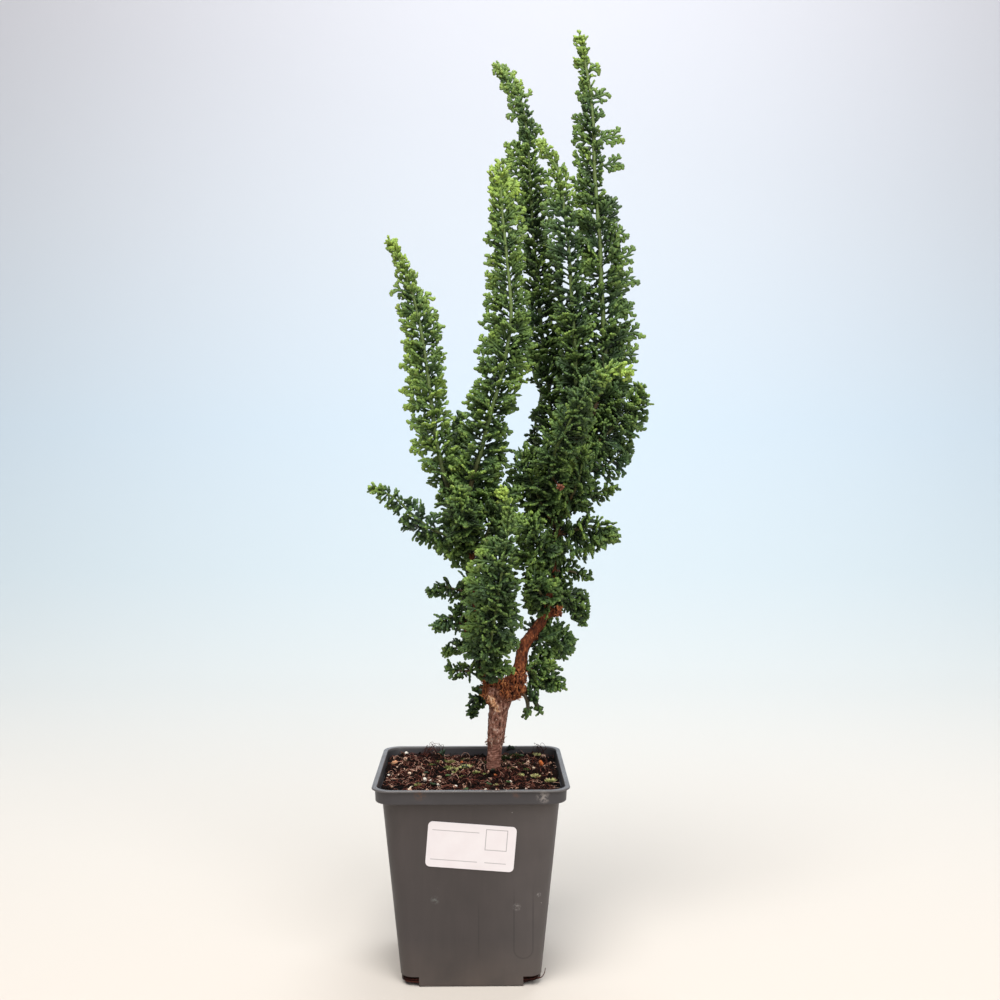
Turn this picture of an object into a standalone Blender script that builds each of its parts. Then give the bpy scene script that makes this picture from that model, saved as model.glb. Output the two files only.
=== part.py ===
"""A young hinoki cypress, grown on as a bonsai, in its square plastic nursery pot.

Lengths are in millimetres, and mesh_object() turns them into Blender's metres. The origin is the middle
of the pot's underside, +Z is up, and -Y is the face with the label.

The pot is a thin shell with a stepped rim and four drain notches. The soil fills it, with a plain hole
for the trunk. All brown wood is one solid: trunk, burl, two limbs, cut stubs, and a spur under every
leafy shoot. Each leafy shoot is a solid of its own: a slim green core, with pairs of lobed fans raised
crosswise from its sides. A fan that would reach another is swung outward or shortened, or left out.
"""

import math
import random

import bmesh
import bpy
from mathutils import Matrix, Vector, noise
from mathutils.bvhtree import BVHTree

MM = 0.001
CLEARANCE = 0.3
ROOM_MARGIN = 0.1

# Pot
POT_HEIGHT = 114.5
POT_WALL = 1.2
POT_FLOOR = 1.6
POT_HALF_FOOT = 39.2
POT_HALF_UNDER_BAND = 49.4
BAND_BOTTOM = 106.2
LEDGE_HEIGHT = 107.4
LEDGE_SLOPE = 0.1
BAND_HALF = 53.0
LIP_HALF = 55.0
LIP_THICKNESS = 1.1
LIP_WIDTH = 2.7
CORNER_RADIUS = 10.5
CORNER_STEPS = 3
NOTCH_HALF_GAP = 29.2
NOTCH_HEIGHT = 5.6
NOTCH_CUT_REACH = 60.0
EDGE_ROUNDING = 0.3

# Soil
SOIL_LEVEL = 108.5
SOIL_LOWEST = 108.1
SOIL_MOUND = 2.0
SOIL_MOUND_REACH = 24.0
SOIL_ROUGHNESS = 1.5
SOIL_LUMP_SIZE = 5.5
SOIL_CRUMB_SIZE = 2.2
SOIL_CRUMB_SHARE = 0.6
SOIL_GAP = 0.6
SOIL_SIDES = 40
SOIL_RINGS = 7
HOLE_RADIUS = 5.7

# Label
LABEL_WIDTH = 49.0
LABEL_HEIGHT = 26.0
LABEL_THICKNESS = 0.4
LABEL_CORNER = 2.6
LABEL_CORNER_STEPS = 3
LABEL_MIDDLE_HEIGHT = 81.5
LABEL_TURN = math.radians(-4.6)

# Trunk
TRUNK_X = 13.0
TRUNK_Y = 14.0
TRUNK_FOOT = 80.0
BURL_MIDDLE = (17.5, 12.0, 157.0)
BURL_RADII = (13.0, 9.0, 7.8)
BURL_LUMPS = 0.16
BURL_LUMPS_ACROSS = 2.3
TRUNK_SIDES = 12
LIMB_SIDES = 7
LIMB_RING_SPACING = 12.0

# Spurs: the wood under each leafy shoot
SPUR_SIDES = 4
SPUR_THINNEST = 0.8
SPUR_PER_REACH = 0.03
SPUR_RING_SPACING = 9.0

# Leafy shoots
CORE_SHARE = 0.22
CORE_THINNEST = 1.2
CORE_TAPER = 4
BAND_LENGTH = 10.0
BAND_TURN = math.radians(21)
BLADE_THICKNESS = 1.7
LOBE_SHARE = 0.44
LOBE_SPREAD = {2: math.radians(34), 3: math.radians(52)}
SIDE_LOBE_CUT = 0.14
VALLEY_SHARE = 0.66
MIN_FAN = 5.0
ROOT_SHARE = 0.15
TIP_FAN_SHARE = 0.9
LEAN_AT_START = 14
LEAN_AT_TIP = 40
LEAN_SPREAD = 10
REACH_SPREAD = (0.86, 1.12)
ROLL_SPREAD = (10, 42)
ARCH_SPREAD = 1.5
CURVE_STEP = 2.0
CURVE_SUBSTEPS = 12

# How a fan that finds no room is tried again: share of its length, swing outward, and share of its roll
TRIES = [(1.0, 0.0, 1.0), (1.0, 0.3, 0.6), (1.0, 0.0, 0.2), (0.85, 0.0, 0.8), (0.85, 0.3, 0.3),
         (0.7, 0.15, 0.3), (0.55, 0.15, 0.2)]

# Wood: name, route, and radius at the route's start, middle and end
LIMBS = [
    ("trunk", [(13, 14, 80), (13, 14, 96), (13, 14, 113), (14, 14, 128), (15, 13, 143), (17, 12, 158)],
     (5.0, 4.7, 6.6)),
    ("right_limb", [(19, 12, 157), (28, 12, 169), (31, 13, 183), (37, 13, 192), (43, 14, 201), (47, 15, 217),
                    (49, 15, 235), (52, 14, 259), (56, 13, 277), (63, 12, 298)], (6.4, 2.6, 2.0)),
    ("left_limb", [(19, 12, 157), (10, 9, 164), (6, 7, 174), (4, 5, 189), (2, 4, 213), (-1, 2, 236),
                   (-4, 1, 254)], (3.4, 2.0, 1.7)),
    ("stub_right", [(43, 14, 201), (48, 12, 204), (53, 10, 205)], (2.4, 2.6, 2.7)),
    ("stub_left_upper", [(3, 5, 197), (-2, 3, 199), (-7, 2, 200)], (1.2, 1.2, 1.3)),
    ("stub_left_lower", [(3, 5, 194), (0, 2, 195), (-4, 0, 195)], (1.1, 1.1, 1.2)),
]


class Shoot:
    """One leafy shoot: where it runs, how much of it is wood, and how far its sprigs reach."""

    def __init__(self, name, route, wood, reach, density=1.0, droop=0.0, bare=0.0):
        self.name = name
        self.route = route
        self.wood = wood
        self.reach = reach
        self.density = density
        self.droop = droop
        self.bare = bare


# Each shoot's wood is how far along its route the brown wood goes, and its reach is how far sprigs stand
# from the axis at its start, middle and tip.
SHOOTS = [
    Shoot("leader_far_left", [(-4, 1, 254), (-14, -4, 281), (-20, -4, 304), (-23, -2, 327), (-26, 0, 350),
                              (-30, 2, 374), (-35, 3, 394), (-40, 2, 408), (-47, 0, 422)],
          20, (14, 14, 5), density=0.8),
    Shoot("leader_left", [(-4, 1, 254), (-1, -4, 278), (5, -8, 298), (11, -10, 321), (17, -10, 342),
                          (21, -10, 361), (23, -10, 381), (21, -10, 407), (18, -9, 436), (17, -8, 453),
                          (16, -8, 466)], 20, (20, 15, 9), density=0.85),
    Shoot("leader_centre_back", [(56, 13, 277), (50, 22, 304), (47, 28, 335), (43, 30, 368), (40, 30, 401),
                                 (37, 29, 437), (35, 28, 470), (33, 27, 495), (29, 26, 512), (21, 26, 523),
                                 (15, 26, 531)], 22, (14, 14, 5)),
    Shoot("leader_centre", [(63, 12, 298), (62, 6, 325), (61, 3, 354), (59, 3, 386), (57, 3, 418),
                            (54, 3, 444), (51, 3, 463), (41, 3, 480)], 20, (14, 12, 5)),
    Shoot("leader_tallest", [(63, 12, 298), (71, 12, 319), (77, 12, 343), (79, 12, 363), (77, 12, 396),
                             (76, 12, 425), (73, 12, 463), (72, 12, 493), (69, 12, 519), (64, 12, 545)],
          46, (22, 16, 4), density=0.8),
    Shoot("leader_back", [(57, 13, 280), (63, 26, 306), (61, 34, 344), (56, 37, 386), (52, 36, 423)],
          22, (13, 13, 5)),
    Shoot("arm_left", [(-3, 2, 243), (-12, -6, 250), (-24, -10, 256), (-34, -14, 264), (-43, -17, 273),
                       (-56, -20, 280)], 8, (14, 11, 4), droop=0.5),
    Shoot("shoot_left_front", [(-3, 2, 246), (-4, -14, 255), (-5, -26, 266), (-6, -32, 275)],
          9, (15, 15, 9)),
    Shoot("shoot_front", [(4, 5, 186), (10, -10, 184), (12, -22, 197), (15, -31, 216), (18, -37, 239),
                          (21, -41, 262), (17, -44, 279)], 10, (13, 13, 5)),
    Shoot("tuft_above_fork", [(6, 7, 172), (11, -6, 173), (17, -14, 173)], 8, (8, 9, 6), droop=0.3),
    Shoot("shoot_right_front", [(54, 13, 271), (48, -4, 282), (47, -17, 297), (54, -27, 313), (61, -35, 327),
                                (70, -42, 339), (79, -46, 345), (89, -50, 342)], 12, (13, 14, 6)),
    Shoot("tuft_centre", [(50, 14, 256), (41, 2, 270), (34, -4, 286), (29, -8, 300)], 9, (11, 11, 6)),
    Shoot("shoot_right_upper", [(64, 12, 301), (76, 10, 307), (90, 6, 321), (99, 2, 335)], 10, (15, 16, 10)),
    Shoot("shoot_right_middle", [(59, 12, 288), (74, 14, 289), (86, 15, 296), (93, 14, 304)],
          8, (13, 14, 9), droop=0.2),
    Shoot("shoot_right_lower", [(55, 13, 271), (66, 12, 272), (76, 10, 276), (83, 8, 279)],
          7, (13, 13, 8), droop=0.2),
    Shoot("arm_right", [(50, 14, 250), (62, 8, 254), (73, 2, 256), (83, -4, 253)], 7, (14, 15, 9), droop=0.4),
    Shoot("twig_right_upper", [(48, 15, 228), (57, 16, 229), (64, 17, 227), (70, 18, 225)],
          5, (8, 8, 5), droop=0.2),
    Shoot("twig_right_middle", [(45, 15, 211), (55, 22, 214), (63, 27, 209), (67, 29, 197)],
          6, (12, 13, 8), droop=0.2),
    Shoot("twig_right_lower", [(36, 13, 190), (44, 20, 187), (53, 25, 185), (60, 28, 180)],
          6, (12, 15, 9), droop=0.2),
    Shoot("tuft_inside_fork", [(45, 14, 209), (41, 2, 216), (36, -6, 225)], 6, (10, 12, 8)),
    Shoot("tuft_inside_fork_upper", [(48, 15, 229), (41, 9, 229), (34, 3, 233), (30, -2, 241)],
          6, (10, 12, 8)),
    Shoot("tuft_right_front", [(54, 13, 267), (59, 2, 274), (63, -6, 286), (65, -10, 300)], 7, (12, 13, 8)),
    Shoot("twig_low_right", [(29, 12, 170), (38, 14, 169), (46, 14, 165), (53, 12, 160)],
          7, (9, 11, 8), droop=0.3),
    Shoot("twig_hanging_right", [(26, 13, 159), (34, 14, 156), (39, 14, 149), (42, 14, 143)],
          6, (4, 4, 5), bare=0.6),
    Shoot("twig_hanging_left", [(26, 8, 157), (31, 7, 153), (33, 7, 148), (32, 7, 141)], 5, (4, 4, 5), bare=0.6),
    Shoot("twig_left_1", [(2, 4, 217), (-9, 2, 219), (-17, 0, 221), (-24, -2, 218)], 5, (8, 7, 5)),
    Shoot("twig_left_2", [(3, 5, 204), (-7, 4, 204), (-14, 0, 202), (-21, -4, 198)], 5, (8, 9, 5), droop=0.2),
    Shoot("twig_left_3", [(4, 5, 186), (-4, 6, 184), (-10, 5, 184), (-15, 4, 182)], 5, (5, 7, 4)),
    Shoot("twig_left_4", [(7, 8, 172), (-1, 8, 170), (-7, 8, 170), (-13, 8, 171)], 5, (4, 6, 3), droop=0.2),
    Shoot("twig_low_left", [(11, 15, 158), (5, 20, 153), (1, 23, 148), (0, 23, 141)], 7, (6, 7, 5)),
    Shoot("shoot_left_back", [(-4, 1, 254), (-6, 11, 271), (-7, 15, 292), (-6, 17, 312)], 20, (13, 13, 7)),
    Shoot("shoot_middle", [(-1, 2, 236), (6, -3, 246), (12, -7, 260), (17, -8, 276)], 7, (12, 14, 8)),
    Shoot("tuft_middle_right", [(49, 15, 236), (43, 4, 240), (38, -6, 248), (34, -12, 256)], 6, (10, 12, 8)),
    Shoot("back_shoot_left_upper", [(-2, 2, 242), (-4, 16, 254), (-8, 30, 274), (-10, 38, 298),
                                    (-8, 42, 322)], 8, (12, 13, 6)),
    Shoot("back_shoot_middle", [(52, 14, 258), (46, 28, 270), (40, 42, 288), (36, 48, 312), (36, 50, 338)],
          8, (12, 13, 6)),
    Shoot("back_shoot_right_upper", [(61, 12, 293), (72, 24, 308), (82, 34, 328), (85, 38, 352),
                                     (82, 40, 376)], 8, (11, 12, 6)),
    Shoot("back_shoot_left_lower", [(5, 6, 180), (2, 20, 188), (0, 32, 200), (-2, 40, 216), (-2, 44, 232)],
          7, (9, 11, 6)),
    Shoot("back_shoot_right_lower", [(45, 14, 207), (49, 28, 216), (52, 38, 228), (52, 44, 244),
                                     (50, 46, 262)], 7, (9, 11, 6)),
    Shoot("back_shoot_centre", [(3, 5, 200), (8, 18, 208), (12, 29, 222), (15, 36, 240), (16, 38, 260)],
          6, (9, 11, 6)),
]


# Scene and materials


def clear_scene():
    for existing in list(bpy.data.objects):
        bpy.data.objects.remove(existing, do_unlink=True)


def material(name, colour, roughness):
    made = bpy.data.materials.new(name)
    made.use_nodes = True
    shader = made.node_tree.nodes["Principled BSDF"]
    shader.inputs["Base Color"].default_value = (*colour, 1.0)
    shader.inputs["Roughness"].default_value = roughness
    shader.inputs["Metallic"].default_value = 0.0
    made.diffuse_color = (*colour, 1.0)
    return made


# Meshes


def mesh_object(name, points, faces, look, smooth=True):
    """A closed solid from points in millimetres, as an object in metres."""
    mesh = bpy.data.meshes.new(name)
    mesh.from_pydata([tuple(Vector(point) * MM) for point in points], [], faces)
    mesh.materials.append(look)
    if smooth:
        mesh.shade_smooth()
        mesh.set_sharp_from_angle(angle=math.radians(40))
    made = bpy.data.objects.new(name, mesh)
    bpy.context.scene.collection.objects.link(made)
    return made


def scratch_object(name, solid, collection):
    """A solid still in millimetres, for Booleans, whose tolerances suit that scale better."""
    mesh = bpy.data.meshes.new(name)
    mesh.from_pydata([tuple(point) for point in solid[0]], [], solid[1])
    bm = bmesh.new()
    bm.from_mesh(mesh)
    bmesh.ops.recalc_face_normals(bm, faces=bm.faces)
    bm.to_mesh(mesh)
    bm.free()
    made = bpy.data.objects.new(name, mesh)
    collection.objects.link(made)
    return made


def boolean(solid, others, operation):
    """The solid joined with, or cut by, the others, as (points, faces)."""
    scratch = bpy.data.collections.new("scratch")
    bpy.context.scene.collection.children.link(scratch)
    operands = bpy.data.collections.new("operands")
    scratch.children.link(operands)
    base = scratch_object("base", solid, scratch)
    for index, other in enumerate(others):
        scratch_object(f"operand_{index}", other, operands)
    modifier = base.modifiers.new("boolean", "BOOLEAN")
    modifier.operation = operation
    modifier.operand_type = "COLLECTION"
    modifier.collection = operands
    modifier.solver = "MANIFOLD"
    bpy.context.view_layer.update()
    evaluated = base.evaluated_get(bpy.context.evaluated_depsgraph_get())
    result = bpy.data.meshes.new_from_object(evaluated)
    points = [vertex.co.copy() for vertex in result.vertices]
    faces = [tuple(polygon.vertices) for polygon in result.polygons]
    for used in list(scratch.all_objects):
        bpy.data.objects.remove(used, do_unlink=True)
    bpy.data.collections.remove(operands)
    bpy.data.collections.remove(scratch)
    return largest_body(points, faces)


def largest_body(points, faces):
    """The body with the most faces, without any hollow that the union sealed or scrap that it left."""
    group = list(range(len(points)))

    def root_of(index):
        while group[index] != index:
            group[index] = group[group[index]]
            index = group[index]
        return index

    for face in faces:
        for index in face[1:]:
            group[root_of(index)] = root_of(face[0])
    sizes = {}
    for face in faces:
        sizes[root_of(face[0])] = sizes.get(root_of(face[0]), 0) + 1
    main = max(sizes, key=sizes.get)
    kept = [index for index in range(len(points)) if root_of(index) == main]
    renumbered = {old: new for new, old in enumerate(kept)}
    kept_faces = [tuple(renumbered[index] for index in face) for face in faces if root_of(face[0]) == main]
    return [points[index] for index in kept], kept_faces


def loft(rings):
    """A skin over rings of equal point counts, first ring to last, with a flat cap at each end."""
    points = [point for ring in rings for point in ring]
    count = len(rings[0])
    faces = []
    for level in range(len(rings) - 1):
        low = level * count
        high = low + count
        for index in range(count):
            after = (index + 1) % count
            faces.append((low + index, low + after, high + after, high + index))
    faces.append(tuple(reversed(range(count))))
    faces.append(tuple(range(len(points) - count, len(points))))
    return points, faces


def box(low, high):
    rings = [[(low[0], low[1], z), (high[0], low[1], z), (high[0], high[1], z), (low[0], high[1], z)]
             for z in (low[2], high[2])]
    return loft(rings)


def rounded_square(half, height):
    """Points round a square with round corners, anticlockwise from +X."""
    radius = CORNER_RADIUS * half / LIP_HALF
    ring = []
    for corner in range(4):
        middle = math.radians(45 + 90 * corner)
        centre_x = math.copysign(half - radius, math.cos(middle))
        centre_y = math.copysign(half - radius, math.sin(middle))
        for step in range(CORNER_STEPS + 1):
            angle = math.radians(90 * corner + 90 * step / CORNER_STEPS)
            ring.append((centre_x + radius * math.cos(angle), centre_y + radius * math.sin(angle), height))
    return ring


# Pot, soil and label


def pot_half(height):
    """Half the body's outer width at a height below the band."""
    return POT_HALF_FOOT + (POT_HALF_UNDER_BAND - POT_HALF_FOOT) * height / BAND_BOTTOM


def make_pot(look):
    """One shell, from the underside up the outside, over the lip and down the inside."""
    lip_underside = POT_HEIGHT - LIP_THICKNESS
    lip_inner = LIP_HALF - LIP_WIDTH
    outside = [
        (POT_HALF_FOOT, 0.0),
        (pot_half(BAND_BOTTOM), BAND_BOTTOM),
        (BAND_HALF - EDGE_ROUNDING, BAND_BOTTOM + LEDGE_SLOPE),
        (BAND_HALF, BAND_BOTTOM + LEDGE_SLOPE + EDGE_ROUNDING),
        (BAND_HALF + EDGE_ROUNDING, lip_underside),
        (LIP_HALF - EDGE_ROUNDING, lip_underside),
        (LIP_HALF, lip_underside + EDGE_ROUNDING),
        (LIP_HALF, POT_HEIGHT - EDGE_ROUNDING),
        (LIP_HALF - EDGE_ROUNDING, POT_HEIGHT),
    ]
    inside = [
        (lip_inner + EDGE_ROUNDING, POT_HEIGHT),
        (lip_inner, POT_HEIGHT - EDGE_ROUNDING),
        (BAND_HALF - POT_WALL, LEDGE_HEIGHT + LEDGE_SLOPE),
        (pot_half(BAND_BOTTOM) - POT_WALL, LEDGE_HEIGHT),
        (pot_half(POT_FLOOR) - POT_WALL, POT_FLOOR),
    ]
    rings = [rounded_square(half, z) for half, z in outside + inside]
    notches = []
    for side_x in (-1, 1):
        for side_y in (-1, 1):
            across = sorted((side_x * NOTCH_HALF_GAP, side_x * NOTCH_CUT_REACH))
            deep = sorted((side_y * NOTCH_HALF_GAP, side_y * NOTCH_CUT_REACH))
            notches.append(box((across[0], deep[0], -NOTCH_HEIGHT), (across[1], deep[1], NOTCH_HEIGHT)))
    points, faces = boolean(loft(rings), notches, "DIFFERENCE")
    return mesh_object("pot", points, faces, look)


def soil_height(x, y):
    """The surface of the soil: level at the wall, heaped a little round the trunk, and crumbly."""
    from_trunk = math.hypot(x - TRUNK_X, y - TRUNK_Y)
    heap = SOIL_MOUND * math.exp(-((from_trunk / SOIL_MOUND_REACH) ** 2))
    lumps = noise.noise(Vector((x, y, 0)) / SOIL_LUMP_SIZE)
    crumbs = SOIL_CRUMB_SHARE * noise.noise(Vector((x, y, 0)) / SOIL_CRUMB_SIZE)
    return max(SOIL_LOWEST, SOIL_LEVEL + heap + SOIL_ROUGHNESS * (lumps + crumbs))


def rim_point(angle, half):
    """The point of a square with round corners that lies in one direction from the middle."""
    across, up = math.cos(angle), math.sin(angle)
    radius = CORNER_RADIUS * half / LIP_HALF
    corner = half - radius
    reach = half / max(abs(across), abs(up))
    if min(abs(across), abs(up)) * reach > corner:
        toward = corner * (abs(across) + abs(up))
        reach = toward + math.sqrt(toward**2 - 2 * corner**2 + radius**2)
    return across * reach, up * reach


def make_soil(look):
    """The soil as one skin: up its sides, in across its surface and down the trunk's hole."""
    angles = [math.tau * index / SOIL_SIDES for index in range(SOIL_SIDES)]
    gap = SOIL_GAP + POT_WALL
    sides = [
        (pot_half(POT_FLOOR) - gap, POT_FLOOR + CLEARANCE),
        (pot_half(BAND_BOTTOM) - gap, LEDGE_HEIGHT + CLEARANCE),
        (BAND_HALF - gap, LEDGE_HEIGHT + CLEARANCE + LEDGE_SLOPE),
    ]
    rings = [[(*rim_point(angle, half), z) for angle in angles] for half, z in sides]
    hole = [(TRUNK_X + HOLE_RADIUS * math.cos(angle), TRUNK_Y + HOLE_RADIUS * math.sin(angle))
            for angle in angles]
    for ring_index in range(SOIL_RINGS + 1):
        inward = ring_index / SOIL_RINGS
        ring = []
        for outer, inner in zip(rings[2], hole):
            x = outer[0] + (inner[0] - outer[0]) * inward
            y = outer[1] + (inner[1] - outer[1]) * inward
            ring.append((x, y, soil_height(x, y)))
        rings.append(ring)
    rings.append([(x, y, TRUNK_FOOT - CLEARANCE) for x, y in hole])
    points, faces = loft(rings)
    return mesh_object("soil", points, faces, look, smooth=False)


def make_label(look):
    """A thin plate with round corners, leaning with the pot's front face."""
    lean = math.atan2(POT_HALF_UNDER_BAND - POT_HALF_FOOT, BAND_BOTTOM)
    outline = []
    for corner in range(4):
        middle = math.radians(45 + 90 * corner)
        centre_x = math.copysign(LABEL_WIDTH / 2 - LABEL_CORNER, math.cos(middle))
        centre_y = math.copysign(LABEL_HEIGHT / 2 - LABEL_CORNER, math.sin(middle))
        for step in range(LABEL_CORNER_STEPS + 1):
            angle = math.radians(90 * corner + 90 * step / LABEL_CORNER_STEPS)
            outline.append((centre_x + LABEL_CORNER * math.cos(angle),
                            centre_y + LABEL_CORNER * math.sin(angle)))
    turn = Matrix.Rotation(LABEL_TURN, 4, "Z")
    stand = Matrix.Rotation(math.radians(90) + lean, 4, "X")
    place = Matrix.Translation((0, -pot_half(LABEL_MIDDLE_HEIGHT), LABEL_MIDDLE_HEIGHT))
    onto_pot = place @ stand @ turn
    rings = [[onto_pot @ Vector((x, y, CLEARANCE + rise)) for x, y in outline] for rise in (0, LABEL_THICKNESS)]
    points, faces = loft(rings)
    return mesh_object("label", points, faces, look)


# Curves and tubes


def smooth_curve(route, spacing):
    """Points read at about even spacing from a smooth curve through the route's own points."""
    ends = [2 * Vector(route[0]) - Vector(route[1])] + [Vector(point) for point in route]
    ends.append(2 * Vector(route[-1]) - Vector(route[-2]))
    fine = []
    for index in range(1, len(ends) - 2):
        before, start, end, after = ends[index - 1 : index + 3]
        for step in range(CURVE_SUBSTEPS):
            t = step / CURVE_SUBSTEPS
            fine.append(0.5 * (2 * start + (end - before) * t
                               + (2 * before - 5 * start + 4 * end - after) * t**2
                               + (3 * start - before - 3 * end + after) * t**3))
    fine.append(ends[-2])
    lengths = [0.0]
    for start, end in zip(fine, fine[1:]):
        lengths.append(lengths[-1] + (end - start).length)
    count = max(2, round(lengths[-1] / spacing))
    points = []
    cursor = 0
    for index in range(count + 1):
        wanted = lengths[-1] * index / count
        while cursor < len(fine) - 2 and lengths[cursor + 1] < wanted:
            cursor += 1
        share = (wanted - lengths[cursor]) / (lengths[cursor + 1] - lengths[cursor])
        points.append(fine[cursor].lerp(fine[cursor + 1], share))
    return points, lengths[-1]


def frames_along(points, first=None, last=None):
    """(tangent, side, other side) at each point, turning as little as possible along the curve.

    The first and last tangents can be given, so that two tubes meet with parallel ends."""
    tangents = []
    for index in range(len(points)):
        before = points[max(0, index - 1)]
        after = points[min(len(points) - 1, index + 1)]
        tangents.append((after - before).normalized())
    tangents[0] = first or tangents[0]
    tangents[-1] = last or tangents[-1]
    side = tangents[0].orthogonal().normalized()
    frames = []
    for tangent in tangents:
        side = (side - tangent * side.dot(tangent)).normalized()
        frames.append((tangent, side, tangent.cross(side)))
    return frames


def three_way(values, share):
    """A value that runs through a start, a middle and an end."""
    if share < 0.5:
        return values[0] + (values[1] - values[0]) * share * 2
    return values[1] + (values[2] - values[1]) * (share * 2 - 1)


def tube(points, radii, sides, last=None):
    """A tube along points with flat ends."""
    rings = []
    for point, (_, side, other), radius in zip(points, frames_along(points, last=last), radii):
        rings.append([point + radius * (side * math.cos(turn) + other * math.sin(turn))
                      for turn in (math.tau * index / sides for index in range(sides))])
    return loft(rings)


# Clearance between shoots


class Room:
    """The space already taken, so that no fan is put through another node."""

    def __init__(self):
        self.taken = []

    def take(self, owner, solid):
        self.taken.append((owner, *self.bounds(solid), BVHTree.FromPolygons(*solid)))

    def is_free(self, owner, solid):
        middle, radius = self.bounds(solid)
        tree = BVHTree.FromPolygons(*solid)
        for other, other_middle, other_radius, other_tree in self.taken:
            near = other != owner and (middle - other_middle).length < radius + other_radius
            if near and tree.overlap(other_tree):
                return False
        return True

    @staticmethod
    def bounds(solid):
        middle = sum(solid[0], Vector()) / len(solid[0])
        return middle, max((point - middle).length for point in solid[0])


# Wood


def limb_curve(route, radii):
    points, _ = smooth_curve(route, LIMB_RING_SPACING)
    return points, [three_way(radii, index / (len(points) - 1)) for index in range(len(points))]


def make_burl():
    """The swollen, fissured knot where the trunk forks."""
    bm = bmesh.new()
    bmesh.ops.create_icosphere(bm, subdivisions=2, radius=1.0)
    points = []
    for vertex in bm.verts:
        out = vertex.co.normalized()
        lump = 1.0 + BURL_LUMPS * noise.noise(out * BURL_LUMPS_ACROSS)
        points.append(Vector([middle + radius * lump * way
                              for middle, radius, way in zip(BURL_MIDDLE, BURL_RADII, out)]))
    faces = [tuple(vertex.index for vertex in face.verts) for face in bm.faces]
    bm.free()
    return points, faces


def shoot_split(shoot):
    """The wood and the green part of a shoot's curve, with a gap between them, and the way across it."""
    points, length = smooth_curve(shoot.route, CURVE_STEP)
    step = length / (len(points) - 1)
    wood_steps = max(1, round(shoot.wood / step))
    joint = points[wood_steps]
    across = (points[wood_steps + 1] - points[wood_steps - 1]).normalized()
    wood = points[: wood_steps + 1]
    green = [joint + across * CLEARANCE] + points[wood_steps + 1 :]
    return wood, green, across


def spur_radius(shoot):
    return SPUR_THINNEST + SPUR_PER_REACH * sum(shoot.reach)


def thinned(points, spacing):
    """Every so many points of a close-set path, with both its ends."""
    count = max(2, round(len(points) * CURVE_STEP / spacing))
    picks = sorted({round(index * (len(points) - 1) / count) for index in range(count + 1)})
    return [points[index] for index in picks]


def make_wood(look, room):
    """Trunk, limbs, burl, stubs and the spurs under the shoots, joined into one solid."""
    solids = [make_burl()]
    for name, route, radii in LIMBS:
        points, radius_at = limb_curve(route, radii)
        solids.append(tube(points, radius_at, TRUNK_SIDES if name == "trunk" else LIMB_SIDES))
    for shoot in SHOOTS:
        wood, _, across = shoot_split(shoot)
        path = thinned(wood, SPUR_RING_SPACING)
        solids.append(tube(path, [spur_radius(shoot)] * len(path), SPUR_SIDES, last=across))
    for solid in solids:
        room.take("wood", solid)
    points, faces = boolean(solids[0], solids[1:], "UNION")
    return mesh_object("trunk_and_limbs", points, faces, look)


# Leafy shoots


def core_radii(shoot, count):
    """The green core: from the spur's own radius out to a share of the foliage's reach."""
    start = spur_radius(shoot)
    radii = []
    for index in range(count):
        share = index / (count - 1)
        full = max(CORE_THINNEST, CORE_SHARE * shoot.density * three_way(shoot.reach, share))
        radii.append(start + (full - start) * min(1.0, share * CORE_TAPER))
    return radii


def tip_fan_length(shoot):
    return max(MIN_FAN, shoot.reach[2] * TIP_FAN_SHARE)


def core_rings(shoot):
    """Four-cornered rings along a shoot, each turned a little further than the last."""
    _, green, across = shoot_split(shoot)
    tip_steps = round(tip_fan_length(shoot) / CURVE_STEP)
    path = thinned(green[: len(green) - tip_steps], BAND_LENGTH)
    rings = []
    for index, (point, (_, side, other), radius) in enumerate(
            zip(path, frames_along(path, first=across), core_radii(shoot, len(path)))):
        ring = []
        for corner in range(4):
            turn = math.radians(90 * corner) + BAND_TURN * index
            ring.append(point + radius * (side * math.cos(turn) + other * math.sin(turn)))
        rings.append(ring)
    return rings


def fan_outline(lobes, length, grown):
    """Outline points beyond the root, and how many belong to a lobe and to the valley after it."""
    half_width = LOBE_SHARE * length / 2 + grown
    spread = LOBE_SPREAD[lobes]
    outline = []
    for lobe in range(lobes):
        sideways = 2 * lobe / (lobes - 1) - 1
        angle = sideways * spread
        reach = length * (1.0 - SIDE_LOBE_CUT * abs(sideways)) + grown
        tip = Vector((reach * math.cos(angle), reach * math.sin(angle)))
        half = Vector((-math.sin(angle), math.cos(angle))) * half_width
        outline += [tip - half, tip + half]
        if lobe < lobes - 1:
            between = angle + spread / (lobes - 1)
            valley = VALLEY_SHARE * length + grown
            outline.append(Vector((valley * math.cos(between), valley * math.sin(between))))
    return outline


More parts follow.
